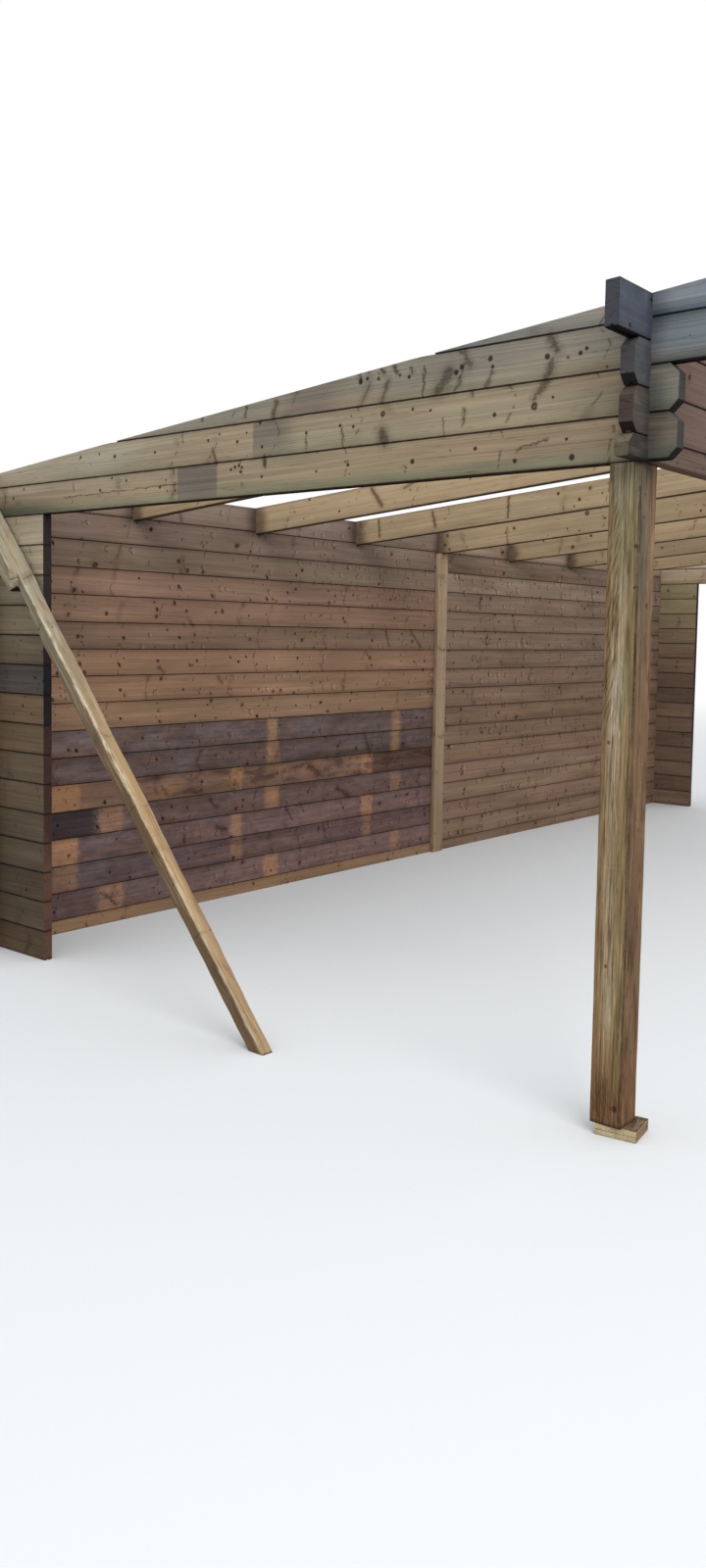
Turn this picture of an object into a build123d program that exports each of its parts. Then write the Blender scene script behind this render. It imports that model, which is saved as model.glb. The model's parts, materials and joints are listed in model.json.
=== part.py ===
from build123d import *
import math
import os

# Open-fronted garden shelter of interlocking tongue-and-groove logs, with a single-pitch
# roof frame of notched rafters and no roof covering yet.
# X runs along the shelter, with its left end at -X. Y runs from the open front (-Y) to the
# back wall (+Y). Z is up from the ground. The origin is under the middle of the whole frame.

# Logs: one course high, with a tongue on top, a groove below and V-chamfers along the edges
log_height = 135.0
log_thickness = 44.0
tongue_width = 12.0
tongue_height = 8.0
groove_spare = 1.0  # room left above a tongue
fit_clearance = 0.5  # each side of a tongue, and each side of a log in a notch
edge_chamfer = 4.0
end_corner_cut = 30.0  # 45 degree cuts on the corners of a projecting log end
top_end_bevel = 5.0  # light bevel on the square ends of the two top logs
butt_gap = 3.0  # between the two lengths of a long log

# Plan, between the centre lines of the walls
length_between_sides = 7000.0
depth_front_to_back = 3250.0
return_wall_length = 350.0  # from the back wall's inner face to the plain end
log_end = 100.0  # of the long walls' logs, past the outer face of the wall that they cross
lintel_half_log_end = 120.0
side_log_end = 88.0  # of the logs that run from front to back
top_log_end = 200.0
front_overhang = 300.0  # roof frame past the front lintel's outer face
rear_overhang = 100.0

# Courses: the front lintel and the back wall each start with a half log
return_wall_courses = 15
back_wall_courses = 16
side_beam_courses = 4
lintel_courses = 3
wedge_tip = 4.0  # height at which a sloping side log is cut off

# Roof frame
rafter_count = 7
rafter_width = 44.0
rafter_depth = 147.0
rafter_chamfer = 3.0
end_bay = 800.0  # from a side wall's centre line to the first rafter

# Front posts on packing boards
post_size = 106.0
post_setback = 16.0  # behind the lintel's outer face
post_chamfer = 5.0
packer_thickness = 18.0
packer_width = 122.0
packer_length = 132.0  # from front to back
packer_aside = 17.0  # from the post's centre, and turned, as set down by hand
packer_forward = 23.0
packer_turn = 9.0  # degrees

# Boards that cover the butt joints
cover_width = 110.0
cover_thickness = 28.0
cover_chamfer = 3.0

# Diagonal prop at the left end, from the ground to the ends of the back wall's logs
prop_foot_out = 174.0  # foot's centre from the side beam's outer face
prop_foot_back = 1350.0  # and from the front lintel's outer face
prop_top_height = 2040.0
prop_top_clearance = 1.5
prop_foot_width = 56.0
prop_foot_depth = 60.0
prop_top_width = 85.0
prop_top_depth = 76.0
prop_wane = 9.0  # rounded-off corners of the rough timber

# Levels and faces that follow from these
quarter = log_height / 4
half_log = log_height / 2
side_x = length_between_sides / 2
half_thickness = log_thickness / 2
side_outer_x = side_x + half_thickness
frame_depth = rear_overhang + front_overhang + log_thickness + depth_front_to_back
frame_front_y = -frame_depth / 2
frame_back_y = frame_depth / 2
front_outer_y = frame_front_y + front_overhang
front_y = front_outer_y + half_thickness
front_inner_y = front_y + half_thickness
back_outer_y = frame_back_y - rear_overhang
back_y = back_outer_y - half_thickness
back_inner_y = back_y - half_thickness
beam_level = return_wall_courses * log_height
lintel_top = beam_level + half_log + lintel_courses * log_height
back_wall_top = half_log + back_wall_courses * log_height
roof_slope = (lintel_top - back_wall_top) / (back_inner_y - front_outer_y)
roof_angle = math.degrees(math.atan(roof_slope))
rafter_plumb_depth = rafter_depth / math.cos(math.radians(roof_angle))
rafter_spacing = (length_between_sides - 2 * end_bay) / (rafter_count - 1)
rafter_places = [(i - (rafter_count - 1) / 2) * rafter_spacing for i in range(rafter_count)]
front_lap_level = lintel_top - half_log
back_lap_level = back_wall_top - half_log
notch_width = log_thickness + 2 * fit_clearance
rafter_notch_width = rafter_width + 2 * fit_clearance
packing_height = 2 * packer_thickness


def roof_level(y):
    """Height of the top of the rafters at a place between front and back."""
    return lintel_top - roof_slope * (y - front_outer_y)


def roof_reaches(level):
    """Place between front and back where the top of the rafters is at a level."""
    return front_outer_y + (lintel_top - level) / roof_slope


def outline(points):
    """Flat face from its corners, leaving out any corner that is there twice."""
    following = points[1:] + points[:1]
    corners = [p for p, q in zip(points, following) if p != q]
    return make_face(Polyline(*corners, close=True))


def block(left, right, low, high):
    """Flat rectangle between two places and two levels."""
    return outline([(left, low), (right, low), (right, high), (left, high)])


def below_roof(drop=0.0):
    """Region under the roof slope, or under a line that runs below it, in (Y, Z)."""
    front, back, low = 2 * frame_front_y, 2 * frame_back_y, -log_height
    return outline(
        [
            (front, low),
            (back, low),
            (back, roof_level(back) - drop),
            (front, roof_level(front) - drop),
        ]
    )


# A log is where its cross-section, drawn across it, meets its side view, drawn along it


def cross_section(centre, bottom, height, groove=True):
    """Section of a log: chamfered edges, a tongue on top and a groove below."""
    top = bottom + height
    low_edge, high_edge = bottom + edge_chamfer, top - edge_chamfer
    shoulder = half_thickness - edge_chamfer
    tongue = tongue_width / 2
    body = outline(
        [
            (centre - shoulder, bottom),
            (centre + shoulder, bottom),
            (centre + half_thickness, low_edge),
            (centre + half_thickness, high_edge),
            (centre + shoulder, top),
            (centre + tongue, top),
            (centre + tongue, top + tongue_height),
            (centre - tongue, top + tongue_height),
            (centre - tongue, top),
            (centre - shoulder, top),
            (centre - half_thickness, high_edge),
            (centre - half_thickness, low_edge),
        ]
    )
    if groove:
        reach = tongue + fit_clearance
        depth = tongue_height + groove_spare
        body -= block(centre - reach, centre + reach, bottom - depth, bottom + depth)
    return body


def side_view(start, stop, bottom, height, cuts):
    """Side view of a log. Cuts come off its corners: low start, low stop, high stop, high start."""
    top = bottom + height + tongue_height
    low_start, low_stop, high_stop, high_start = cuts
    return outline(
        [
            (start, bottom + low_start),
            (start + low_start, bottom),
            (stop - low_stop, bottom),
            (stop, bottom + low_stop),
            (stop, top - high_stop),
            (stop - high_stop, top),
            (start + high_start, top),
            (start, top - high_start),
        ]
    )


def end_cuts(at_start, at_stop, whole=True):
    """Corner cuts for a log with shaped ends. A half log keeps its lower corners."""
    low = end_corner_cut if whole else 0.0
    high = end_corner_cut + tongue_height
    return (at_start * low, at_stop * low, at_stop * high, at_start * high)


def notch_for_crossing(view, place, bottom, height, whole=True):
    """Cuts a corner joint: the log keeps its middle half, or a half log its lower half."""
    left, right = place - notch_width / 2, place + notch_width / 2
    top = bottom + height
    view -= block(left, right, top - quarter, top + log_height)
    if whole:
        view -= block(left, right, bottom - quarter, bottom + quarter)
    return view


def log_along_x(section, view, y):
    """Log that runs along the shelter, from its section in (Y, Z) and its view in (X, Z)."""
    reach = length_between_sides
    bar = extrude(Plane.YZ * section, amount=reach, both=True)
    slab = extrude(Plane.XZ.offset(-y) * view, amount=log_thickness, both=True)
    return (bar & slab).solid()


def log_along_y(section, view, x):
    """Log that runs from front to back, from its section in (X, Z) and its view in (Y, Z)."""
    bar = extrude(Plane.XZ * section, amount=frame_depth, both=True)
    slab = extrude(Plane.YZ.offset(x) * view, amount=log_thickness, both=True)
    return (bar & slab).solid()


# Long walls: two lengths of log, butted behind or over a post at the middle


def long_log(side, y, bottom, height, end, cuts, whole=True, groove=True, roofed=None):
    """Left (-1) or right (+1) length of a log along the shelter."""
    outer, inner = side_outer_x + end, butt_gap / 2
    view = side_view(-outer, -inner, bottom, height, cuts)
    view = notch_for_crossing(view, -side_x, bottom, height, whole)
    section = cross_section(y, bottom, height, groove)
    if roofed is not None:
        section &= below_roof()
        for place in rafter_places:
            half = rafter_notch_width / 2
            view -= block(place - half, place + half, roofed, roofed + log_height)
    length = log_along_x(section, view, y)
    return length if side < 0 else mirror(length, about=Plane.YZ)


def half_height_log(side, y, bottom, end):
    cuts = end_cuts(1, 0, whole=False)
    return long_log(side, y, bottom, half_log, end, cuts, whole=False, groove=False)


def wall_log(side, y, bottom):
    return long_log(side, y, bottom, log_height, log_end, end_cuts(1, 0))


def top_log(side, y, bottom):
    """Top log with square ends, planed to the roof slope and notched for the rafters."""
    bevel = top_end_bevel
    cuts = (bevel, 0.0, 0.0, bevel + tongue_height)
    lap = bottom + half_log
    return long_log(side, y, bottom, log_height, top_log_end, cuts, roofed=lap)


# Ends of the shelter: a short return wall at the back, and beams over the open side


def return_wall_log(side, course):
    bottom = course * log_height
    start, stop = back_inner_y - return_wall_length, back_outer_y + side_log_end
    view = side_view(start, stop, bottom, log_height, end_cuts(0, 1))
    view = notch_for_crossing(view, back_y, bottom, log_height)
    section = cross_section(side * side_x, bottom, log_height)
    return log_along_y(section, view, side * side_x)


def side_beam(side, course):
    """Log over the open side. The upper two carry the front overhang and taper to a tip."""
    bottom = beam_level + course * log_height
    reaches_back = bottom < back_wall_top
    if reaches_back:
        start, stop = front_outer_y - side_log_end, back_outer_y + side_log_end
        cuts = end_cuts(1, 1)
    else:
        start, stop = frame_front_y, roof_reaches(bottom + wedge_tip)
        cuts = end_cuts(0, 0)
    view = side_view(start, stop, bottom, log_height, cuts)
    view = notch_for_crossing(view, front_y, bottom, log_height)
    if reaches_back:
        view = notch_for_crossing(view, back_y, bottom, log_height)
    view &= below_roof()
    section = cross_section(side * side_x, bottom, log_height)
    return log_along_y(section, view, side * side_x)


# Roof frame


def rafter(x):
    """Rafter on the roof slope, half-lapped over the lintel's and the back wall's top logs."""
    view = outline(
        [
            (frame_front_y, roof_level(frame_front_y)),
            (frame_front_y, roof_level(frame_front_y) - rafter_plumb_depth),
            (frame_back_y, roof_level(frame_back_y) - rafter_plumb_depth),
            (frame_back_y, roof_level(frame_back_y)),
        ]
    )
    for place, lap in ((front_y, front_lap_level), (back_y, back_lap_level)):
        half = notch_width / 2
        view -= block(place - half, place + half, lap - 2 * log_height, lap)
    low_corners = Rectangle(rafter_width, rafter_depth).vertices().group_by(Axis.Y)[-1]
    section = chamfer(low_corners, rafter_chamfer)
    down_slope = (0, math.cos(math.radians(roof_angle)), -math.sin(math.radians(roof_angle)))
    start = Plane(origin=(x, 0, roof_level(0)), x_dir=(1, 0, 0), z_dir=down_slope)
    bar = extrude(start * Pos(0, rafter_depth / 2) * section, amount=frame_depth, both=True)
    slab = extrude(Plane.YZ.offset(x) * view, amount=rafter_width, both=True)
    return (bar & slab).solid()


# Posts, packing boards and joint covers


def upright(x, y, low, high, width, depth, bevel):
    """Upright timber with eased corners, centred at (x, y)."""
    section = chamfer(Rectangle(width, depth).vertices(), bevel)
    return Pos(x, y, low) * extrude(section, amount=high - low)


def post_centres():
    """Left corner, middle and right corner post, flush with the side beams' outer faces."""
    x = side_outer_x - post_size / 2
    y = front_outer_y + post_setback + post_size / 2
    return [(-x, y), (0, y), (x, y)]


def front_post(x, y):
    return upright(x, y, packing_height, beam_level, post_size, post_size, post_chamfer)


def packer(post_x, post_y, bottom):
    align = (Align.CENTER, Align.CENTER, Align.MIN)
    board = Box(packer_width, packer_length, packer_thickness, align=align)
    place = Pos(post_x + packer_aside, post_y - packer_forward, bottom)
    return place * Rot(0, 0, packer_turn) * board


def joint_cover(inner_face_y, toward, low):
    """Board over a butt joint, from a level up to the underside of the middle rafter."""
    y = inner_face_y + toward * cover_thickness / 2
    board = upright(0, y, low, lintel_top, cover_width, cover_thickness, cover_chamfer)
    under_rafter = extrude(
        Plane.YZ * below_roof(drop=rafter_plumb_depth), amount=cover_width, both=True
    )
    return (board & under_rafter).solid()


# Diagonal prop


def diagonal_prop():
    """Rough squared timber that leans from the ground to the back wall's log ends."""
    top_out = prop_top_width / 2 + prop_top_clearance
    foot = Vector(-side_outer_x - prop_foot_out, front_outer_y + prop_foot_back, 0)
    head = Vector(-side_outer_x - top_out, back_inner_y, prop_top_height)
    along = (head - foot).normalized()
    below = Plane(origin=foot - along * prop_foot_depth, x_dir=(1, 0, 0), z_dir=along)
    above = Plane(origin=head + along * prop_top_depth, x_dir=(1, 0, 0), z_dir=along)
    foot_section = chamfer(Rectangle(prop_foot_width, prop_foot_depth).vertices(), prop_wane)
    top_section = chamfer(Rectangle(prop_top_width, prop_top_depth).vertices(), prop_wane)
    timber = loft([below * foot_section, above * top_section], ruled=True)
    room = extrude(
        Plane.YZ * block(front_outer_y, back_inner_y, 0, lintel_top),
        amount=length_between_sides,
        both=True,
    )
    return (timber & room).solid()


def whole_model():
    """Every piece of the shelter, as a list of solids for each name."""
    nodes = {}
    sides = {"left": -1, "right": 1}
    back_bottoms = [half_log + i * log_height for i in range(back_wall_courses)]
    nodes["back_wall_half_logs"] = [
        half_height_log(side, back_y, 0.0, log_end) for side in sides.values()
    ]
    for name, side in sides.items():
        # Neighbouring courses touch, so each wall has its odd and its even courses apart
        for parity, first in (("odd", 0), ("even", 1)):
            bottoms = back_bottoms[:-1][first::2]
            nodes[f"back_wall_{name}_{parity}_logs"] = [
                wall_log(side, back_y, bottom) for bottom in bottoms
            ]
            nodes[f"{name}_return_wall_{parity}_logs"] = [
                return_wall_log(side, course)
                for course in range(first, return_wall_courses, 2)
            ]
        for course in range(side_beam_courses):
            nodes[f"{name}_side_beam_{course + 1}"] = [side_beam(side, course)]
        nodes[f"{name}_lintel_half_log"] = [
            half_height_log(side, front_y, beam_level, lintel_half_log_end)
        ]
        for course in range(lintel_courses - 1):
            bottom = beam_level + half_log + course * log_height
            nodes[f"{name}_lintel_log_{course + 1}"] = [wall_log(side, front_y, bottom)]
        nodes[f"{name}_lintel_top_log"] = [top_log(side, front_y, lintel_top - log_height)]
    nodes["back_wall_top_logs"] = [
        top_log(side, back_y, back_bottoms[-1]) for side in sides.values()
    ]
    for i, x in enumerate(rafter_places):
        nodes[f"rafter_{i + 1}"] = [rafter(x)]
    posts = post_centres()
    for name, (x, y) in zip(("left_corner", "middle", "right_corner"), posts):
        nodes[f"{name}_post"] = [front_post(x, y)]
    nodes["upper_packers"] = [packer(x, y, packer_thickness) for x, y in posts]
    nodes["lower_packers"] = [packer(x, y, 0.0) for x, y in posts]
    nodes["back_wall_joint_cover"] = [joint_cover(back_inner_y, -1, 0.0)]
    nodes["lintel_joint_cover"] = [joint_cover(front_inner_y, 1, beam_level)]
    nodes["diagonal_prop"] = [diagonal_prop()]
    return nodes


os.makedirs("parts", exist_ok=True)
for name, solids in whole_model().items():
    shape = solids[0] if len(solids) == 1 else Compound(children=solids)
    export_step(shape, f"parts/{name}.step")
print("roof pitch", round(roof_angle, 2), "rafter spacing", rafter_spacing)
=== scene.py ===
import math

import bmesh
import bpy
from mathutils import Matrix, Vector, noise
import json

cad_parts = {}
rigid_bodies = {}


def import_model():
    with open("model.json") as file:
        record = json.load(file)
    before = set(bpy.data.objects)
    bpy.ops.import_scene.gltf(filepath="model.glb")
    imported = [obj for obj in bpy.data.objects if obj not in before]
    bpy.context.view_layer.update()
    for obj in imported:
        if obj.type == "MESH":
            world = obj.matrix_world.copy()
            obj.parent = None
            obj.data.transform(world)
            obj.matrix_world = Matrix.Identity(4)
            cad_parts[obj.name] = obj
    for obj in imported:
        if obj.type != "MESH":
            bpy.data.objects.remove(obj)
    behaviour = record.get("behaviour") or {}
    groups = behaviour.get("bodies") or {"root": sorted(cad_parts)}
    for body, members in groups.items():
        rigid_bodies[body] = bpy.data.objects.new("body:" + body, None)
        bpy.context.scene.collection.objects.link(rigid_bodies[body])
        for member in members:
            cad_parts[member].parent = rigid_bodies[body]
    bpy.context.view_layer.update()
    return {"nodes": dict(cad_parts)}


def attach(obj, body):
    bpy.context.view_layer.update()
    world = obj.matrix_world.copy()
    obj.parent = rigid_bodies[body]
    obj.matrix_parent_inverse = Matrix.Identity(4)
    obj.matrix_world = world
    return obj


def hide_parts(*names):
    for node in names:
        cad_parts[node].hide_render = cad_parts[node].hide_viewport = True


# Open-fronted garden shelter of interlocking logs, without its roof covering.
# X runs along it, Y from the open front to the back wall, Z up. Sizes are in metres,
# and only the marks that are put down one by one are in millimetres.

for leftover in list(bpy.data.objects):
    bpy.data.objects.remove(leftover)
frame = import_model()
nodes = frame["nodes"]
scene = bpy.context.scene
print("frame loaded:", len(nodes), "pieces")

millimetre = 0.001
faceShift = 0.3  # sets the pattern of a timber's front apart from that of its sides


class Named(dict):
    # a dictionary whose entries are also read and set as attributes
    __getattr__ = dict.__getitem__
    __setattr__ = dict.__setitem__


logs = Named(
    height=0.135,
    sideX=3.5,  # middle of the end walls
    sideOuterX=3.522,
    frontY=-1.525,  # middle of the lintel
    backY=1.725,  # middle of the back wall
    backInnerY=1.703, roofFrontY=-1.547, roofFrontZ=2.4975, roofFall=0.0830769, rafterGap=0.9,
)


# Node graphs, with their maths written as plain arithmetic


class Wire:
    # the value of one socket
    def __init__(self, graph, socket):
        self.graph = graph
        self.socket = socket

    def other(self, name):
        return Wire(self.graph, self.socket.node.outputs[name])


def wireMaths(operation, swapped=False):
    def act(wire, *others):
        values = (*others, wire) if swapped else (wire, *others)
        return wire.graph.maths(operation, *values)

    return act


operations = {
    "add": "ADD", "radd": "ADD", "mul": "MULTIPLY", "rmul": "MULTIPLY", "sub": "SUBTRACT",
    "truediv": "DIVIDE", "pow": "POWER", "abs": "ABSOLUTE", "lt": "LESS_THAN", "gt": "GREATER_THAN",
}
for name, operation in operations.items():
    setattr(Wire, "__%s__" % name, wireMaths(operation))
Wire.__rsub__ = wireMaths("SUBTRACT", swapped=True)


class Graph:
    def __init__(self, tree):
        self.tree = tree

    def put(self, socket, value):
        if isinstance(value, Wire):
            self.tree.links.new(value.socket, socket)
        else:
            socket.default_value = value

    def add(self, kind, settings=None, sockets=None, out=0):
        node = self.tree.nodes.new(kind)
        for name, value in (settings or {}).items():
            if name == "stops":
                self.setStops(node.color_ramp, value)
            else:
                setattr(node, name, value)
        for name, value in (sockets or {}).items():
            self.put(node.inputs[name], value)
        return Wire(self, node.outputs[out])

    def setStops(self, ramp, stops):
        ramp.interpolation = "CONSTANT"
        for i, (place, colour) in enumerate(stops):
            stop = ramp.elements[i] if i < 2 else ramp.elements.new(place)
            stop.position = place
            stop.color = colour

    def maths(self, operation, *values):
        return self.add("ShaderNodeMath", {"operation": operation}, dict(enumerate(values)))

    def floor(self, value):
        return self.maths("FLOOR", value)

    def fraction(self, value):
        return self.maths("FRACT", value)

    def most(self, first, second):
        return self.maths("MAXIMUM", first, second)

    def least(self, first, second):
        return self.maths("MINIMUM", first, second)

    def limit(self, value):
        return self.least(self.most(value, 0), 1)

    def length(self, first, second):
        return (first * first + second * second) ** 0.5

    def rise(self, value, low, high, start=0, stop=1):
        # start up to low, stop from high on, smooth between
        settings = {"interpolation_type": "SMOOTHSTEP"}
        sockets = {0: value, 1: low, 2: high, 3: start, 4: stop}
        return self.add("ShaderNodeMapRange", settings, sockets)

    def fall(self, value, low, high):
        return self.rise(value, low, high, 1, 0)

    def span(self, value, low, high, soft):
        # 1 between two places, with soft ends
        return self.rise(value, low - soft, low + soft) * self.fall(value, high - soft, high + soft)

    def vector(self, x, y, z):
        return self.add("ShaderNodeCombineXYZ", None, {0: x, 1: y, 2: z})

    def split(self, vector):
        x = self.add("ShaderNodeSeparateXYZ", None, {0: vector})
        return x, x.other("Y"), x.other("Z")

    def dot(self, vector, direction):
        settings = {"operation": "DOT_PRODUCT"}
        return self.add("ShaderNodeVectorMath", settings, {0: vector, 1: direction}, "Value")

    def far(self, vector, spot):
        settings = {"operation": "DISTANCE"}
        return self.add("ShaderNodeVectorMath", settings, {0: vector, 1: spot}, "Value")

    def farFromLine(self, vector, start, stop):
        # how far a point is from a straight stroke
        line = Vector(stop) - Vector(start)
        toStart = {0: vector, 1: start}
        away = self.add("ShaderNodeVectorMath", {"operation": "SUBTRACT"}, toStart)
        share = self.dot(away, tuple(line / line.length_squared))
        share = self.limit(share)
        reached = {0: tuple(line), "Scale": share}
        along = self.add("ShaderNodeVectorMath", {"operation": "SCALE"}, reached)
        return self.far(away, along)

    def noise(self, x, y, z, detail=1, roughness=0.5):
        sockets = {"Vector": self.vector(x, y, z), "Scale": 1}
        sockets.update({"Detail": detail, "Roughness": roughness})
        return self.add("ShaderNodeTexNoise", None, sockets)

    def patches(self, low, high, *spot):
        return self.rise(self.noise(*spot), low, high)

    def waver(self, *spot):
        return self.noise(*spot) - 0.5

    def random(self, x, y, z):
        dice = self.add("ShaderNodeTexWhiteNoise", None, {"Vector": self.vector(x, y, z)}, "Color")
        return self.split(dice)

    def mix(self, amount, first, second, how="MIX"):
        settings = {"data_type": "RGBA", "blend_type": how}
        return self.add("ShaderNodeMix", settings, {0: amount, 6: first, 7: second}, 2)

    def tint(self, colour, amount, tint):
        # a colour multiplied by another, as far as amount says
        return self.mix(amount, colour, tint, "MULTIPLY")

    def shade(self, colour, factor):
        grey = self.add("ShaderNodeCombineColor", None, {0: factor, 1: factor, 2: factor})
        return self.mix(1, colour, grey, "MULTIPLY")

    def perCourse(self, course, chosen, rest, most=32):
        # a colour for each course of logs, counted from the ground
        stops = [(0, chosen.get(0, rest))]
        for i in range(1, 20):
            colour = chosen.get(i, rest)
            if colour != stops[-1][1]:
                stops.append((i / most, colour))
        if len(stops) == 1:
            stops.append((1, rest))
        return self.add("ShaderNodeValToRGB", {"stops": stops}, {0: (course + 0.5) / most})

    def whichCourses(self, course, chosen):
        ramp = self.perCourse(course, {i: (1, 1, 1, 1) for i in chosen}, (0, 0, 0, 1))
        return self.split(ramp)[0]


class Coat:
    # a colour that others are laid over or multiplied into, each as far as its amount says
    def __init__(self, graph, colour):
        self.graph = graph
        self.now = colour

    def mix(self, amount, colour):
        self.now = self.graph.mix(amount, self.now, colour)
        return self.now

    def tint(self, amount, tint):
        self.now = self.graph.tint(self.now, amount, tint)
        return self.now

    def shaded(self, factor):
        return self.graph.shade(self.now, factor)


def linked(name, data):
    thing = bpy.data.objects.new(name, data)
    scene.collection.objects.link(thing)
    return thing


def newMaterial(name):
    material = bpy.data.materials.new(name)
    material.use_nodes = True
    return material, Graph(material.node_tree), material.node_tree.nodes["Principled BSDF"]


def paint(red, green, blue):
    # a colour as a picture gives it, 0 to 255
    def linear(value):
        value /= 255
        return value / 12.92 if value <= 0.04045 else ((value + 0.055) / 1.055) ** 2.4

    return (linear(red), linear(green), linear(blue), 1)


# Where a point lies in its own timber: along the grain, across its face, through its section


def readPlace(g):
    x, y, z = g.split(g.add("ShaderNodeTexCoord", out="Object"))
    nx, ny, nz = g.split(g.add("ShaderNodeTexCoord", out="Normal"))
    return Named(x=x, y=y, z=z, nx=nx, ny=ny, nz=nz)


def logPlace(g, look):
    # shift is 0.5 where the lowest course is a half log
    p = readPlace(g)
    level = p.z / logs.height + look.shift
    p.course = g.floor(level)
    within = level - p.course
    if look.grain == "x":
        p.along, p.through, facing = p.x, p.y - look.middle, p.nx
    else:
        p.along, p.through, facing = p.y, abs(p.x) - look.middle, p.ny
    p.across = (within - 0.5) * logs.height
    p.face = p.across
    p.seeds = g.random(p.course + 0.5, p.x > 0, look.number)
    p.edge = g.least(within, 1 - within) * logs.height
    p.cut = g.rise(abs(facing), 0.45, 0.6)
    return p


def rafterPlace(g, look):
    p = readPlace(g)
    rank = g.floor(p.x / logs.rafterGap + 0.5)
    roof = logs.roofFrontZ - (p.y - logs.roofFrontY) * logs.roofFall
    depth = roof - p.z
    p.rank = rank
    p.along = p.y
    p.through = p.x - rank * logs.rafterGap
    p.across = look.depth / 2 - depth
    p.face = p.across
    p.seeds = g.random(rank + 0.5, 3.5, look.number)
    p.edge = g.least(depth, look.depth - depth) + 0.001
    p.cut = g.rise(abs(p.ny), 0.45, 0.6)
    return p


def postPlace(g, look):
    p = readPlace(g)
    rank = g.floor(p.x / look.apart + 0.5)
    p.along = p.z
    p.across = p.x - rank * look.apart
    p.through = p.y - look.middle
    sideways = abs(p.nx) > abs(p.ny)
    p.face = sideways * p.through + (1 - sideways) * (p.across + faceShift)
    p.seeds = g.random(rank + 0.5, 5.5, look.number)
    p.edge = 0.05
    p.cut = g.rise(abs(p.nz), 0.6, 0.8)
    return p


def leaningPlace(g, look):
    # a timber that leans: its axes are in the look
    p = readPlace(g)
    spot = g.vector(p.x, p.y, p.z)
    facing = g.vector(p.nx, p.ny, p.nz)
    ways = [tuple(way) for way in look.ways]
    p.along, p.across, p.through = (
        g.dot(spot, way) - Vector(way).dot(look.start) for way in ways
    )
    side = abs(g.dot(facing, ways[1])) > abs(g.dot(facing, ways[2]))
    p.face = side * p.through + (1 - side) * (p.across + faceShift)
    p.seeds = g.random(2.5, 7.5, look.number)
    p.edge = 0.05
    p.cut = g.rise(abs(g.dot(facing, ways[0])), 0.6, 0.8)
    return p


# Timber: growth rings, fibre, knots and whorls of small branches, the same maths for every piece

timberTints = Named(
    early=(1.14, 1.12, 1.07, 1), late=(0.7, 0.64, 0.56, 1), branch=(0.3, 0.23, 0.21, 1),
    smudge=(0.5, 0.46, 0.46, 1), halo=(0.7, 0.62, 0.56, 1), knot=(0.11, 0.08, 0.07, 1),
    eye=(0.5, 0.36, 0.28, 1), tick=(0.44, 0.38, 0.34, 1), seam=(0.11, 0.1, 0.1, 1),
    dirt=(0.58, 0.54, 0.52, 1), check=(0.3, 0.27, 0.26, 1), under=(0.4, 0.39, 0.4, 1),
    endGrain=(0.62, 0.58, 0.56, 1),
)

planedLook = Named(
    ring=0.0042, growth=0.9, lateness=0.34, streaky=0.42, bands=0.22, fibreSize=520,
    fibreContrast=0.1, clouds=0.34, unevenness=0.14, knotCell=(0.062, 0.045), knotSmall=0.003,
    knotLarge=0.011, knotRagged=0.0045, knotChance=0.035, whorlKnots=0.4, chips=0.5, whorlGap=0.31,
    branchChance=0.55, branchDepth=0.6, smudgeChance=0.3, smudgeDepth=0.45, seams=1,
    seamWidth=0.0044, dirt=0.5, fuzz=0.35,
)


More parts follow.
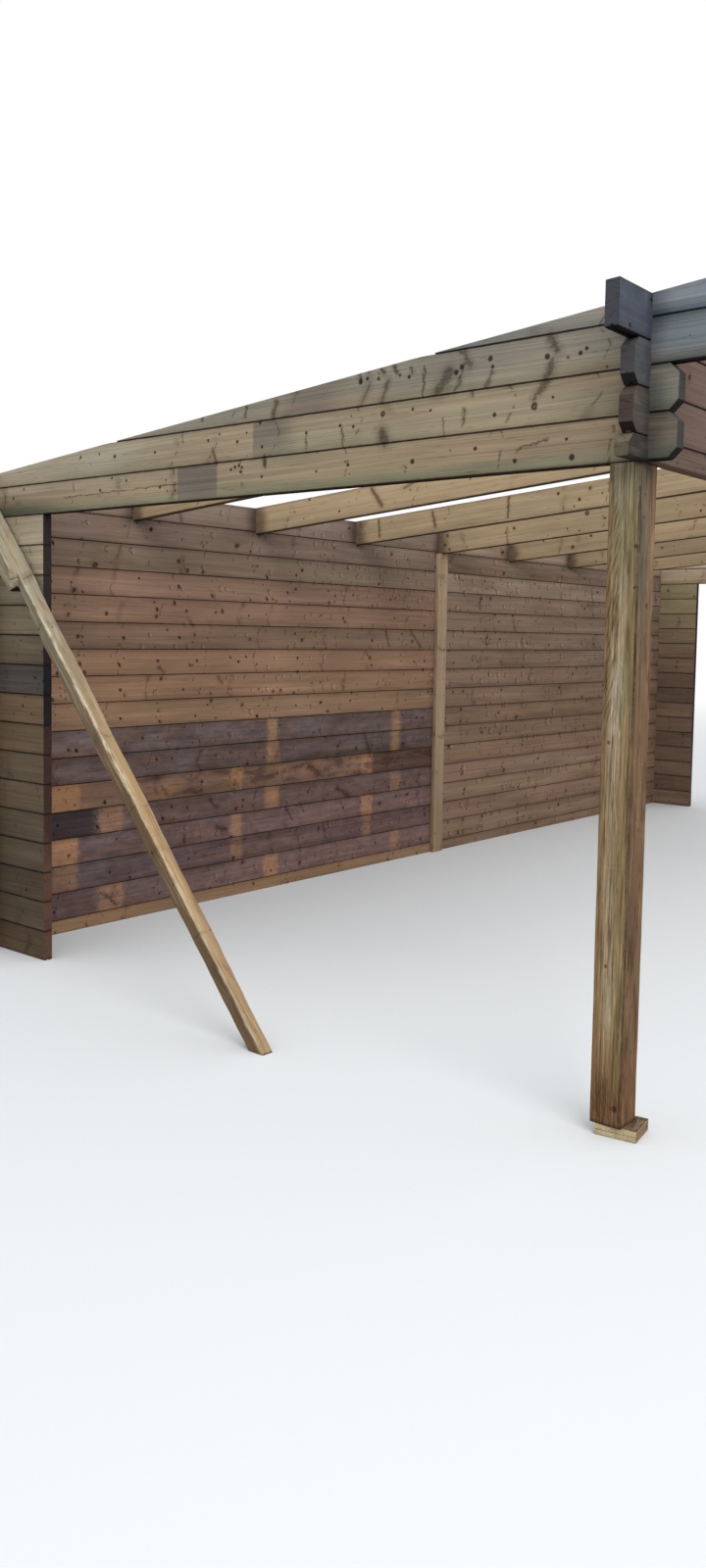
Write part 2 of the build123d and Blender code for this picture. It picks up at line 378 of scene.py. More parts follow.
def timber(name, placeOf, look, bodyColour, dress=None):
    material, g, principled = newMaterial(name)
    p = placeOf(g, look)
    one, two, three = p.seeds
    far = p.along + one * 37
    across, through = p.across, p.through

    # the pith wanders, so the rings make long pointed arches
    sway = g.waver(far * 0.7, two * 19, three * 23)
    overPith = across - (two - 0.5) * 0.06 - sway * 0.07
    fromPith = through + 0.028 + three * 0.04

    # whorls: knots near the pith, and branches cut lengthways that lean away from it
    gap = look.whorlGap
    bend = g.waver(far * 5, across * 17, two * 7) * 0.03
    leaned = far - abs(overPith) * (0.15 + three * 0.5) - bend
    ring = {"W": leaned / gap, "Scale": 1, "Randomness": 0.85}
    whorl = g.add("ShaderNodeTexVoronoi", {"voronoi_dimensions": "1D"}, ring, "W")
    strong, soft, broken = g.split(whorl.other("Color"))
    offWhorl = abs(leaned - whorl * gap)
    shown = g.patches(0.47, 0.58, far * 7, across * 38, broken * 30)
    thick = g.noise(far * 40, across * 70, broken * 9) * 0.008
    branch = g.fall(offWhorl, thick - 0.001, thick + 0.002) * shown * (strong < look.branchChance)
    cloudy = g.patches(0.4, 0.62, far * 5, across * 15, broken * 20)
    smudge = g.fall(offWhorl, 0.004, 0.034) * cloudy * (soft < look.smudgeChance)

    cellLong, cellHigh = look.knotCell
    spread = {"Vector": g.vector(far / cellLong, (p.face + two) / cellHigh, 0), "Scale": 1}
    knot = g.add("ShaderNodeTexVoronoi", {"voronoi_dimensions": "2D"}, spread, "Position")
    knotX, knotY, _ = g.split(knot)
    size, chance, kind = g.split(knot.other("Color"))
    ragged = g.waver(far * 120, p.face * 120, one * 5, 2)
    offLong = far - knotX * cellLong
    offHigh = p.face + two - knotY * cellHigh
    leant = offLong + offHigh * (kind - 0.5)
    offKnot = g.length(leant * (0.75 + kind * 0.8), offHigh) + ragged * look.knotRagged
    radius = look.knotSmall + size ** 3 * (look.knotLarge - look.knotSmall)
    likely = g.fall(offWhorl, 0.012, 0.07) * g.fall(abs(overPith), 0.02, 0.06) * look.whorlKnots
    there = chance < likely + look.knotChance
    core = g.fall(offKnot, radius * 0.72, radius) * there
    eye = g.fall(offKnot, radius * 0.3, radius * 0.66) * core * (kind < 0.5)
    halo = g.fall(offKnot, radius, radius * 2.8) * there
    # pale crescents, where the planer tore the wood out beside a knot
    chipped = g.fall(abs(offKnot - radius * 1.7), 0.0012, 0.0046) * (offLong > 0) * (kind > 0.4)
    chipped = chipped * there * look.chips

    radial = g.length(overPith, fromPith) + halo * 0.006
    drift = g.waver(far * 1.1, p.face * 9, one * 11)
    rings = g.fraction(radial / look.ring + drift * 2.2)
    late = g.rise(rings, 0.45, 0.92) * g.fall(rings, 0.94, 1)
    growth = g.noise(radial * 95, far * 0.45, two * 13, 2)
    streaks = g.noise(far * 2.2, across * 120, through * 90, 3, 0.6)
    bands = g.noise(far * 0.9, across * 46, through * 30 + one * 9, 2, 0.6)
    fine = look.fibreSize
    fibre = g.noise(far * (fine / 32), across * fine, through * fine, 2)
    clouds = g.noise(far * 1.5, p.face * 10, three * 17, 3, 0.6)
    ticks = g.patches(0.68, 0.76, far * 13, p.face * 170, two * 31)

    body = bodyColour(g, p)
    tone = (growth - 0.5) * look.growth + 0.25 + late * look.lateness + (fibre - 0.5) * 0.45
    tone = g.limit(tone + (streaks - 0.5) * look.streaky * 2)
    colour = Coat(g, g.tint(body, 1, g.mix(tone, timberTints.early, timberTints.late)))
    bright = (clouds - 0.5) * look.clouds * 2 + (one - 0.5) * look.unevenness + 1
    bright = bright + (bands - 0.5) * look.bands * 2 + (fibre - 0.5) * look.fibreContrast * 2
    colour.now = colour.shaded(bright)
    colour.mix(chipped * 0.6, colour.shaded(1.5))
    colour.tint(ticks * 0.5, timberTints.tick)
    colour.tint(smudge * look.smudgeDepth, timberTints.smudge)
    colour.tint(halo * 0.5, timberTints.halo)
    colour.tint(branch * look.branchDepth, timberTints.branch)
    colour.tint(core * 0.93, g.mix(eye, timberTints.knot, timberTints.eye))
    if dress:
        dress(g, p, colour, clouds, fibre)

    # end grain, with its rings and radial checks, and a painted shade where it looks down
    turn = g.maths("ARCTAN2", overPith, fromPith)
    checked = g.patches(0.6, 0.66, turn * 14, radial * 18, two * 9)
    endTone = late * 0.45 + checked * 0.4 + (fibre - 0.5) * 0.35 + (clouds - 0.5) * 0.8 + 0.12
    endColour = look.get("endColour") or g.tint(body, 1, timberTints.endGrain)
    endGrain = g.tint(endColour, g.limit(endTone), timberTints.check)
    endGrain = g.tint(endGrain, g.fall(p.nz, -0.72, -0.45), timberTints.under)
    colour.mix(p.cut, endGrain)

    # a dark line at each seam, and dirt and painted shade beside it
    dusty = g.noise(far * 22, across * 60, one * 3)
    wide = look.seamWidth
    seam = g.fall(p.edge + (dusty - 0.5) * 0.002, wide * 0.4, wide)
    dirt = g.fall(p.edge + dusty * 0.014, 0.007, 0.024)
    colour.tint(dirt * look.dirt, timberTints.dirt)
    colour.tint(seam * look.seams * 0.92, timberTints.seam)

    g.put(principled.inputs["Base Color"], colour.now)
    g.put(principled.inputs["Roughness"], 0.74 + tone * 0.14 + core * 0.05)
    principled.inputs["Specular IOR Level"].default_value = 0.25
    relief = late * 0.22 + (fibre - 0.5) * look.fuzz - core * 0.5 - branch * 0.4
    relief = relief + (streaks - 0.5) * look.fuzz - checked * p.cut * 0.6 - chipped * 0.8
    bump = {"Height": relief, "Distance": 0.001, "Strength": 1}
    g.put(principled.inputs["Normal"], g.add("ShaderNodeBump", None, bump))
    return material


# Marks put down one by one, in millimetres: a spot and its size, or the two ends of a stroke,
# its width and its strength

largeKnot = 13.5  # a knot above this size shows a lighter ring


def spots(g, place, marks):
    # dark knots, and the lighter rings inside the large ones
    dark, ringed = 0, 0
    for first, second, size in marks:
        off = g.far(place, (first * millimetre, second * millimetre, 0))
        radius = size * millimetre
        dark = g.most(g.fall(off, radius * 0.55, radius), dark)
        if size > largeKnot:
            ringed = g.most(g.fall(off, radius * 0.12, radius * 0.42), ringed)
    return dark, ringed


def strokes(g, place, marks):
    # each stroke goes from one place to another, with a torn dark core and a soft shadow
    core, soft = 0, 0
    for *sizes, strength in marks:
        x, y, toX, toY, width = (size * millimetre for size in sizes)
        off = g.farFromLine(place, (x, y, 0), (toX, toY, 0))
        core = g.most(g.fall(off, width * 0.26, width * 0.8) * strength, core)
        soft = g.most(g.fall(off, width * 0.3, width * 2) * strength, soft)
    return core, soft


# Back wall: brown upper logs, and a stained lower left part with bare places in it

backWallLook = Named(
    planedLook, grain="x", middle=logs.backY, shift=0.5, number=1.5, plain=paint(148, 120, 99),
    top=paint(141, 124, 114), low=paint(158, 127, 97), rightSide=paint(143, 115, 95),
    rightHigh=paint(149, 130, 114), bare=paint(176, 134, 97), bright=paint(168, 124, 88),
    black=paint(58, 48, 54), stain=paint(93, 77, 75), stainFilm=paint(112, 100, 104),
    stainBrown=paint(106, 80, 70), stainWorn=paint(126, 101, 95), orange=paint(128, 100, 88),
    reddish=paint(84, 60, 54), pale=paint(152, 130, 108), rosy=paint(138, 104, 88),
    stainedCourses=(1, 2, 3, 4, 6, 7), patchPeriod=1.19,
    patchPhase={"first": -0.47, "second": -0.768},
    secondPhaseCourses=(2, 3, 5), patchWidth=0.105, unevenness=0.26, clouds=0.5, streaky=0.5,
    fibreContrast=0.18, branchDepth=0.55, knotSmall=0.0044, knotLarge=0.015, knotChance=0.07,
    whorlKnots=0.55, chips=0.8, seamWidth=0.0034, dirt=0.22, dentCell=(0.08, 0.062),
    dentCourses=(13, 14, 9, 11),
    # how the logs of the two halves differ in tone
    leftTints={
        15: (0.92, 0.9, 0.9, 1), 14: (0.76, 0.9, 1.02, 1), 13: (1.1, 1.14, 1.26, 1),
        12: (1.15, 1.17, 1.22, 1), 11: (0.76, 0.8, 0.84, 1), 9: (1.15, 1.12, 1.12, 1),
        7: (1.08, 1.12, 1.16, 1), 4: (1.1, 1.04, 1.05, 1), 3: (1.08, 1.04, 1.12, 1),
        2: (0.95, 0.92, 1, 1), 1: (1.15, 1.12, 1.18, 1),
    },
    rightTints={
        14: (1.25, 1.3, 1.38, 1), 13: (0.9, 0.9, 0.95, 1), 11: (0.84, 0.86, 0.92, 1),
        9: (0.87, 0.87, 0.93, 1), 8: (0.9, 0.9, 0.93, 1), 6: (0.87, 0.88, 0.9, 1),
        4: (1.06, 1.1, 1.2, 1), 3: (1.06, 1.1, 1.15, 1), 2: (1.05, 1.05, 1.15, 1),
        1: (1.12, 1.15, 1.2, 1),
    },
    knots=(
        (-2890, 1600, 14), (-3070, 1480, 13), (-3030, 1300, 16), (-2800, 1210, 13),
        (-2800, 1060, 12), (-3220, 1170, 15), (-3190, 1300, 12), (-2350, 1624, 12),
        (-2080, 1631, 17), (-1870, 1611, 9), (-2400, 1482, 13), (-2550, 1356, 13),
        (-2270, 1355, 12), (-1950, 1349, 13), (-1800, 1336, 8), (-1450, 1369, 12),
        (-1450, 1285, 13), (-1480, 1511, 10), (-2370, 1198, 10), (-1780, 1192, 9),
        (-1480, 1161, 12), (-2280, 1052, 10), (-2190, 1108, 8), (-1780, 1092, 9),
        (-1790, 1031, 13), (-1460, 1085, 9), (-1230, 1094, 12), (-1480, 1776, 12),
        (-1180, 1778, 9), (-2680, 1787, 9), (-2600, 2045, 12), (-1030, 1615, 11), (-940, 1763, 11),
        (-760, 1367, 18), (-740, 1317, 12), (-160, 1343, 12), (-180, 1281, 15), (-940, 1144, 13),
        (-950, 1096, 11), (-170, 1584, 11), (-510, 1628, 9), (-1810, 42, 12), (-2450, 562, 11),
        (780, 1498, 13), (1500, 1460, 14),
    ),
    strokes=(
        (-2330, 1580, -2300, 1545, 12, 0.7), (-2540, 1320, -2510, 1295, 12, 0.7),
        (-2110, 1265, -2080, 1230, 13, 0.7), (-600, 1545, -560, 1440, 12, 0.7),
        (-330, 1550, -210, 1440, 10, 0.7), (-1330, 700, -1250, 655, 30, 0.8),
        (-2170, 575, -2110, 530, 16, 0.8), (-2110, 415, -2040, 392, 20, 0.8),
        (-2354, 398, -2354, 356, 10, 0.8), (-1540, 465, -1480, 385, 12, 0.7),
        (-1410, 480, -1380, 430, 10, 0.6), (-2930, 170, -2860, 125, 10, 0.7),
        (-2860, 125, -2820, 85, 10, 0.7), (-1980, 660, -1970, 600, 10, 0.6),
        (-800, 870, -740, 725, 18, 0.6), (-1070, 545, -950, 480, 22, 0.7),
        (-1200, 330, -1170, 240, 10, 0.6), (-2520, 680, -2480, 640, 10, 0.5),
    ),
    # tints and colours of single places
    besideRafter=(0.34, 0.31, 0.32, 1), besideSeam=(0.6, 0.55, 0.52, 1),
)


def backWallBody(g, p):
    look = backWallLook
    course = p.course
    chosen = {0: look.low, 15: look.top, 16: look.top}
    body = Coat(g, g.perCourse(course, chosen, look.plain))
    tan = g.rise(p.z, 1.9, 0.9, 0, 0.3)
    body.mix(tan, look.low)
    right = g.rise(p.x, -0.001, 0.001)
    rightBody = g.mix(g.rise(p.z, 0.9, 1.7), look.rightSide, look.rightHigh)
    body.mix(right * 0.85, rightBody)
    pale = g.patches(0.46, 0.66, p.x * 1.1, p.z * 5, 11, 2)
    body.mix(pale * 0.35, look.pale)
    body.mix(p.seeds[2] * (0.55 - right * 0.35), look.rosy)

    # bare places, one every so often along a course, each of its own strength
    second = g.whichCourses(course, look.secondPhaseCourses)
    first = look.patchPhase["first"]
    shift = second * (look.patchPhase["second"] - first) + first
    ragged = g.waver(p.x * 24, p.z * 30, 0, 4, 0.7) * 0.085
    turns = (p.x + ragged - shift) / look.patchPeriod + 0.5
    strength, wider, skew = g.random(g.floor(turns) + 0.5, course + 0.5, 2.5)
    offPatch = abs(g.fraction(turns) - 0.5 + (skew - 0.5) * 0.012) * look.patchPeriod
    wide = look.patchWidth * (0.38 + wider * 0.22) + g.fall(p.x, -3, -2.4) * 0.035
    uneven = g.noise(p.x * 13, p.z * 19, 31, 3, 0.6)
    bare = g.fall(offPatch - wide, -0.022, 0.02) * g.limit(strength * 0.45 + uneven * 1.1 + 0.05)
    bare = bare * (1 - g.whichCourses(course, (6, 7)) * g.fall(p.x, -2.5, -2.4))

    left = g.fall(p.x, -0.03, -0.02) * g.fall(p.ny, 0.2, 0.6)
    stained = g.whichCourses(course, look.stainedCourses) * left
    film = g.patches(0.38, 0.7, p.x * 2.2, p.z * 9, 3, 3)
    stain = g.mix(film * 0.8, look.stain, look.stainFilm)
    brownish = g.patches(0.48, 0.64, p.x * 3, p.z * 15, 21, 3, 0.6)
    stain = g.mix(brownish * 0.65, stain, look.stainBrown)
    wornOff = g.rise(p.x, -3, -1.2) * g.fall(p.z, 0.3, 0.75)
    stain = g.mix(wornOff * 0.7, stain, look.stainWorn)
    thin = g.noise(p.x * 7, p.z * 30, 7, 3, 0.65)
    cover = stained * (1 - bare * 0.92) * g.limit(thin * 0.9 + 0.5)
    worn = g.whichCourses(course, (5,)) * left
    body.mix(worn * 0.85, look.orange)
    body.mix(bare * left * g.whichCourses(course, range(1, 8)) * 0.9, look.bare)
    rubbed = g.noise(p.x * 4.2, p.z * 13, 1, 4, 0.6)
    glow = worn * g.rise(rubbed, 0.5, 0.66) + worn * g.fall(p.x, -3.3, -2.9) * 0.6
    # the rubbed log is stained again near the middle of the wall
    darker = worn * g.rise(p.x + ragged, -0.8, -0.66)
    glow = glow * (1 - darker)
    body.mix(g.limit(glow) * 0.62, look.bright)
    red = worn * g.rise(p.x, -2.95, -2.5) * g.fall(rubbed, 0.36, 0.5)
    body.mix(g.limit(red * 0.8 + darker * (1 - bare) * 0.7), look.reddish)
    mottled = g.noise(p.x * 11, p.z * 24, 13, 4, 0.7)
    body.mix(cover, g.shade(stain, 0.35 + mottled * 1.3))
    corner = g.whichCourses(course, (4,)) * g.fall(p.x + ragged, -2.99, -2.93)
    body.mix(corner * 0.85, look.black)
    # reddish scratches over the stained logs
    scratch = g.patches(0.58, 0.68, p.x * 80, p.z * 26, 41, 3, 0.65)
    scratch = scratch * left * g.whichCourses(course, range(1, 8))
    body.mix(scratch * 0.5, look.reddish)
    # the same marks show faintly on the logs above
    faint = bare * g.rise(course, 7.2, 7.8) * 0.1
    body.mix(faint, look.bare)
    tints = (g.perCourse(course, look[side], (1, 1, 1, 1)) for side in ("leftTints", "rightTints"))
    return body.tint(1, g.mix(right, *tints))


def backWallDress(g, p, colour, clouds, fibre):
    look = backWallLook
    # the top log is darker beside every rafter, where they meet
    off = abs(g.fraction(p.x / logs.rafterGap + 0.5) - 0.5) * logs.rafterGap
    smudge = g.fall(off + (clouds - 0.5) * 0.12, 0.02, 0.13) * g.rise(p.z, 2.04, 2.12)
    colour.tint(smudge * 0.9, look.besideRafter)
    wobble = (clouds - 0.5) * 0.02
    place = g.vector(p.x + wobble, p.z + wobble, 0)
    inner = p.ny < -0.5
    knots, ringed = spots(g, place, look.knots)
    colour.tint(knots * (1 - ringed * 0.4) * inner * 0.9, timberTints.knot)
    curl = g.waver(p.x * 42, p.z * 42, 8, 3, 0.7)
    bend = g.waver(p.x * 42, p.z * 42, 19, 3, 0.7)
    place = g.vector(p.x + curl * 0.05, p.z + bend * 0.05, 0)
    core, soft = strokes(g, place, look.strokes)
    torn = g.patches(0.36, 0.56, p.x * 110, p.z * 110, 6, 3, 0.7)
    colour.tint(soft * inner * 0.6, timberTints.smudge)
    colour.tint(core * inner * (0.4 + torn * 0.6), timberTints.branch)

    # dents of the planer, each a short crescent, with a painted shade on its left and a painted highlight on
    # its right
    scale = g.rise(p.x, -0.002, 0.002, 1, 1.45)
    wide, high = (scale * size for size in look.dentCell)
    spread = {"Vector": g.vector(p.x / wide, p.z / high, 0), "Scale": 1}
    dent = g.add("ShaderNodeTexVoronoi", {"voronoi_dimensions": "2D"}, spread, "Position")
    dentX, dentZ, _ = g.split(dent)
    size, chance, lean = g.split(dent.other("Color"))
    offX, offZ = p.x / scale - dentX * look.dentCell[0], p.z / scale - dentZ * look.dentCell[1]
    offX = offX + offZ * (lean - 0.5) * 0.8 + (fibre - 0.5) * 0.004
    radius = 0.006 + size * 0.01
    arc = g.fall(abs(g.length(offX, offZ) - radius), 0.0012, 0.0044)
    many = g.patches(0.42, 0.6, p.x * 0.8, p.course * 3.3, 5) * 0.32
    many = many + g.whichCourses(p.course, look.dentCourses) * 0.3 + 0.06
    many = many * g.rise(p.x, -2.9, -1.3, 0.15, 1) + (p.x > 0) * 0.14
    arc = arc * (chance < many) * inner
    colour.tint(arc * g.rise(radius * 0.35 - offX, 0, 0.004) * 0.8, timberTints.branch)
    lit = arc * g.rise(offX - radius * 0.45, 0, 0.004) * g.rise(lean, 0.35, 0.6)
    colour.mix(lit * 0.7, colour.shaded(1.8))
    # painted shade: each log is darker down to its lower seam and a little at its upper one
    under = g.fall(p.across + (clouds - 0.5) * 0.03, -0.062, -0.018)
    over = g.rise(p.across + (clouds - 0.5) * 0.03, 0.034, 0.064)
    colour.tint(under * 0.3 + over * 0.34, look.besideSeam)


# Return walls: green-brown, one dark log, and the dark strip of their plain ends

returnWallLook = Named(
    planedLook, grain="y", middle=logs.sideX, shift=0, number=2.5, high=paint(164, 153, 133),
    mid=paint(104, 90, 73), low=paint(84, 72, 60), farSide=paint(136, 114, 100),
    farHigh=paint(166, 154, 120), rusty=paint(112, 90, 68), dark=paint(74, 71, 73),
    endStrip=paint(66, 55, 58), endFoot=paint(134, 100, 82), endRed=paint(94, 68, 60),
    endDark=paint(40, 38, 52), unevenness=0.34, clouds=0.5, branchDepth=0.45,
)


def returnWallBody(g, p):
    look = returnWallLook
    body = Coat(g, g.mix(g.rise(p.z, 0.2, 1.1), look.low, look.mid))
    body.mix(g.rise(p.z, 1.25, 1.85), look.high)
    body.mix(g.rise(p.seeds[2], 0.3, 0.9) * g.fall(p.z, 1.2, 1.7) * 0.6, look.rusty)
    farBody = g.mix(g.rise(p.z, 1.35, 1.9), look.farSide, look.farHigh)
    body.mix((p.x > 0) * 0.75, farBody)
    dark = g.whichCourses(p.course, (9,)) * (p.x < 0)
    body.mix(dark * 0.85, look.dark)
    end = g.rise(abs(p.ny), 0.45, 0.6)
    blotches = g.noise(p.z * 4, p.x * 30, 6, 2) * 0.5
    strip = g.mix(g.rise(p.z + blotches, 1.25, 1.45), look.endRed, look.endStrip)
    strip = g.mix(g.rise(p.z + blotches, 0.6, 1), look.endFoot, strip)
    strip = g.mix(g.whichCourses(p.course, (8, 9)) * (p.x < 0) * 0.7, strip, look.endDark)
    return body.mix(end, strip)


# Side beams: one tone a course, old damp patches, dark smudges, and the marks of the left ones

sideBeamLook = Named(
    planedLook, grain="y", middle=logs.sideX, shift=0, number=3.5,
    courses={
        15: paint(160, 145, 121), 16: paint(160, 149, 127), 17: paint(145, 140, 129),
        18: paint(138, 142, 142),
    },
    green=paint(130, 131, 110), rosy=paint(168, 145, 122), damp=paint(116, 108, 102),
    frontTints={
        15: (0.46, 0.53, 0.64, 1), 16: (0.64, 0.8, 1, 1), 17: (0.63, 0.83, 1.18, 1),
        18: (0.84, 1.12, 1.6, 1),
    },
    knotChance=0.016, whorlKnots=0.22, branchDepth=0.55, smudgeChance=0.35, clouds=0.32,
    unevenness=0.04, chips=0.6, endColour=paint(64, 64, 62),
    knots=(
        (1459, 2249, 8), (1498, 2142, 8), (1577, 2107, 9), (1083, 2251, 8), (956, 2255, 7),
        (950, 2102, 9), (873, 2148, 7), (780, 2131, 8), (855, 2236, 11), (290, 2250, 8),
        (130, 2230, 9), (80, 2260, 6), (0, 2200, 8), (600, 2230, 8), (10, 2290, 9),
        (-220, 2230, 8), (-380, 2240, 8), (-440, 2230, 8), (-570, 2260, 14), (-770, 2250, 7),
        (-1020, 2210, 9), (-1165, 2220, 15), (-1230, 2240, 6), (163, 2129, 8), (141, 2137, 9),
        (120, 2141, 9), (104, 2133, 8), (111, 2117, 9), (0, 2090, 8), (-270, 2090, 7),
        (570, 2090, 9), (-420, 2100, 8), (-700, 2090, 12), (-950, 2110, 9), (-1100, 2060, 10),
        (-1280, 2110, 7), (-1300, 2054, 13), (-470, 2380, 12), (-500, 2386, 8), (-550, 2380, 8),
        (-640, 2380, 7), (-680, 2370, 9), (-870, 2360, 11), (-892, 2374, 12), (-1000, 2386, 12),
        (-1010, 2360, 8), (-1206, 2365, 12), (-1320, 2360, 9), (-1340, 2370, 8),
    ),
    strokes=(
        (438, 2297, 438, 2254, 4, 0.8), (262, 2217, 244, 2160, 7, 0.7),
        (-222, 2225, -221, 2175, 5, 0.7), (-14, 2160, -15, 2125, 10, 0.9),
        (326, 2355, 325, 2328, 6, 0.7), (82, 2377, 89, 2319, 8, 0.7),
        (-71, 2357, -58, 2304, 14, 0.7), (-457, 2419, -473, 2380, 10, 0.7),
        (-553, 2425, -569, 2396, 9, 0.8), (-611, 2424, -630, 2391, 9, 0.8),
        (-683, 2401, -694, 2383, 7, 0.7), (-591, 2368, -564, 2301, 13, 0.6),
        (-743, 2390, -738, 2298, 5, 0.8), (-845, 2364, -799, 2310, 28, 0.7),
        (-899, 2420, -920, 2375, 18, 0.6), (-898, 2357, -867, 2302, 12, 0.6),
        (-1008, 2343, -987, 2298, 11, 0.6), (-1215, 2422, -1240, 2378, 18, 0.7),
        (-1226, 2345, -1204, 2297, 18, 0.7), (-1210, 2293, -1164, 2244, 15, 0.7),
        (-387, 2231, -396, 2163, 5, 0.7), (-822, 2220, -824, 2163, 4, 0.7),
        (-905, 2239, -899, 2191, 7, 0.7), (-932, 2290, -934, 2275, 7, 0.7),
        (-566, 2202, -582, 2163, 24, 0.7), (-1102, 2090, -1213, 2116, 5, 0.7),
        (-670, 2077, -670, 2058, 4, 0.7), (1200, 2086, 466, 2097, 2.2, 0.9),
    ),
    # tints and colours of single places
    dirty=(0.32, 0.4, 0.4, 1), farSide=(1.2, 1.2, 1.22, 1), bleached=(1.16, 1.24, 1.38, 1),
    besideSeam=(0.74, 0.76, 0.68, 1), rim=(0.42, 0.48, 0.46, 1), besideLintel=(0.4, 0.42, 0.5, 1),
    stroke=(0.25, 0.19, 0.17, 1),
)


def sideBeamBody(g, p):
    look = sideBeamLook
    course = p.course
    body = Coat(g, g.perCourse(course, look.courses, look.courses[15]))
    y, z = p.y, p.z
    rosy = g.patches(0.42, 0.66, y * 0.9, z * 6, 9, 2)
    body.mix(rosy * 0.6, look.rosy)
    mossy = g.patches(0.48, 0.74, y * 1.2, z * 8, 4, 3)
    left = p.x < 0
    lowEdge = g.fall(z + g.noise(y * 2, z * 4, 2) * 0.03, 2.062, 2.095) * left * 0.65
    mossy = mossy * g.fall(y, 0.1, 0.7) * 0.45
    body.mix(g.limit(mossy + lowEdge), look.green)
    ragged = g.waver(y * 30, z * 40, 1, 2) * 0.012
    first = g.span(y + ragged, 0.239, 0.464, 0.006) * g.rise(z, 1.99, 2.1, 0.55, 0.9)
    damp = first * g.whichCourses(course, (15,))
    second = g.fall(y + ragged, 0.042, 0.052) * g.rise(y, -0.21, -0.08) * g.rise(z, 2.16, 2.24, 0.4, 0.8)
    damp = damp + second * g.whichCourses(course, (16,))
    third = g.span(y + (z - 2.35) * 0.8, -0.36, -0.12, 0.07)
    damp = damp + third * g.whichCourses(course, (17,)) * 0.6
    return body.mix(g.limit(damp) * left, look.damp)


def sideBeamDress(g, p, colour, clouds, fibre):
    look = sideBeamLook
    # dirt at the far low end of the left one
    dirty = g.rise(p.y + (clouds - 0.5) * 0.5, 1.05, 1.45) * g.fall(p.z, 2.04, 2.14)
    left = p.x < 0
    colour.tint(dirty * left * 0.8, look.dirty)
    colour.tint(1 - left, look.farSide)
    bleached = g.rise(p.y + (clouds - 0.5) * 0.4, 0.35, 1.1) * g.rise(p.z, 2.08, 2.16)
    colour.tint(bleached * 0.8, look.bleached)
    # weathered towards the front corner, and dark beside the lintel
    front = g.fall(p.y + (clouds - 0.5) * 0.16, -1.6, -1.46)
    colour.tint(front * 0.9, g.perCourse(p.course, look.frontTints, (1, 1, 1, 1)))
    # a little darker and greener down to each seam, a painted shade
    under = g.fall(p.across + (clouds - 0.5) * 0.05, -0.056, -0.022)
    colour.tint(under * 0.45, look.besideSeam)
    tips = g.whichCourses(p.course, (15, 16)) * g.fall(p.y, -1.665, -1.64)
    rim = g.fall(p.edge + (clouds - 0.5) * 0.03, 0.004, 0.04) + tips
    colour.tint(g.limit(rim) * front * 0.6, look.rim)
    corner = g.fall(abs(p.y - logs.frontY) + (clouds - 0.5) * 0.1, 0.012, 0.09)
    colour.tint(corner * 0.85, look.besideLintel)
    outer = (p.nx < -0.5) * (p.x < 0)
    curl = g.waver(p.y * 36, p.z * 36, 8, 3, 0.65)
    bend = g.waver(p.y * 36, p.z * 36, 19, 3, 0.65)
    place = g.vector(p.y + curl * 0.04, p.z + bend * 0.034, 0)
    core, soft = strokes(g, place, look.strokes)
    torn = g.patches(0.36, 0.56, p.y * 90, p.z * 200, 6, 3, 0.7)
    colour.tint(soft * outer * 0.8, timberTints.smudge)
    colour.tint(core * outer * (0.45 + torn * 0.55), look.stroke)
    place = g.vector(p.y + curl * 0.008, p.z + bend * 0.008, 0)
    knots, ringed = spots(g, place, look.knots)
    colour.tint(knots * (1 - ringed * 0.35) * outer * 0.95, timberTints.knot)


# Lintel: pink-brown face, dark blue-grey ends past the corner

lintelLook = Named(
    planedLook, grain="x", middle=logs.frontY, shift=0.5, number=4.5, face=paint(112, 93, 84),
    inner=paint(160, 136, 108),
    tips={
        15: paint(60, 60, 58), 16: paint(80, 76, 75), 17: paint(84, 86, 92), 18: paint(73, 80, 94),
    },
    cuts={
        15: paint(112, 104, 84), 16: paint(84, 70, 64), 17: paint(80, 79, 82),
        18: paint(78, 83, 92),
    },
    unevenness=0.06,
    # tints and colours of single places
    brown=paint(104, 86, 74), wornTop=paint(146, 118, 84), blotch=(0.6, 0.64, 0.62, 1),
    paleFilm=paint(124, 124, 128), besideBeam=(0.45, 0.47, 0.54, 1),
)


def lintelTip(g, p):
    look = lintelLook
    return g.perCourse(p.course, look.tips, look.tips[18])


def lintelBody(g, p):
    look = lintelLook
    body = Coat(g, g.mix(g.rise(p.ny, -0.2, 0.2), look.face, look.inner))
    past = g.rise(abs(p.x), logs.sideX - 0.03, logs.sideX - 0.01)
    body.mix(past, lintelTip(g, p))
    cuts = g.perCourse(p.course, look.cuts, look.cuts[18])
    # end grain is darkened again by its own rings
    return body.mix(p.cut, g.shade(cuts, 1.45))


def lintelDress(g, p, colour, clouds, fibre):
    look = lintelLook
    # brown shows through the grey film, and the tips are darkest against the side beam
    worn = g.noise(p.x * 9, p.z * 26, 3, 3, 0.6)
    past = g.rise(abs(p.x), logs.sideX, logs.sideX + 0.02)
    low = g.fall(p.z, 2.34, 2.42)
    brown = g.rise(worn, 0.48, 0.68) * past * low
    colour.mix(brown * 0.45, look.brown)
    # the faces of the tips that look up are lighter tan: wear, and a painted highlight
    worn = g.rise(p.nz, 0.25, 0.7) * past * g.fall(p.z, 2.26, 2.3)
    colour.mix(worn * 0.7, look.wornTop)
    blotched = g.noise(p.x * 22, p.z * 15, p.y * 15, 3, 0.6)
    colour.tint(g.rise(blotched, 0.5, 0.66) * past * 0.5, look.blotch)
    pale = g.patches(0.58, 0.7, p.x * 40, p.z * 7, 5, 2) * past
    colour.mix(pale * 0.2, look.paleFilm)
    near = g.fall(abs(p.x) - logs.sideOuterX + (clouds - 0.5) * 0.03, 0.006, 0.05)
    colour.tint(near * past * 0.55, look.besideBeam)


# Rafters: the brightest timber, with many dark whorls

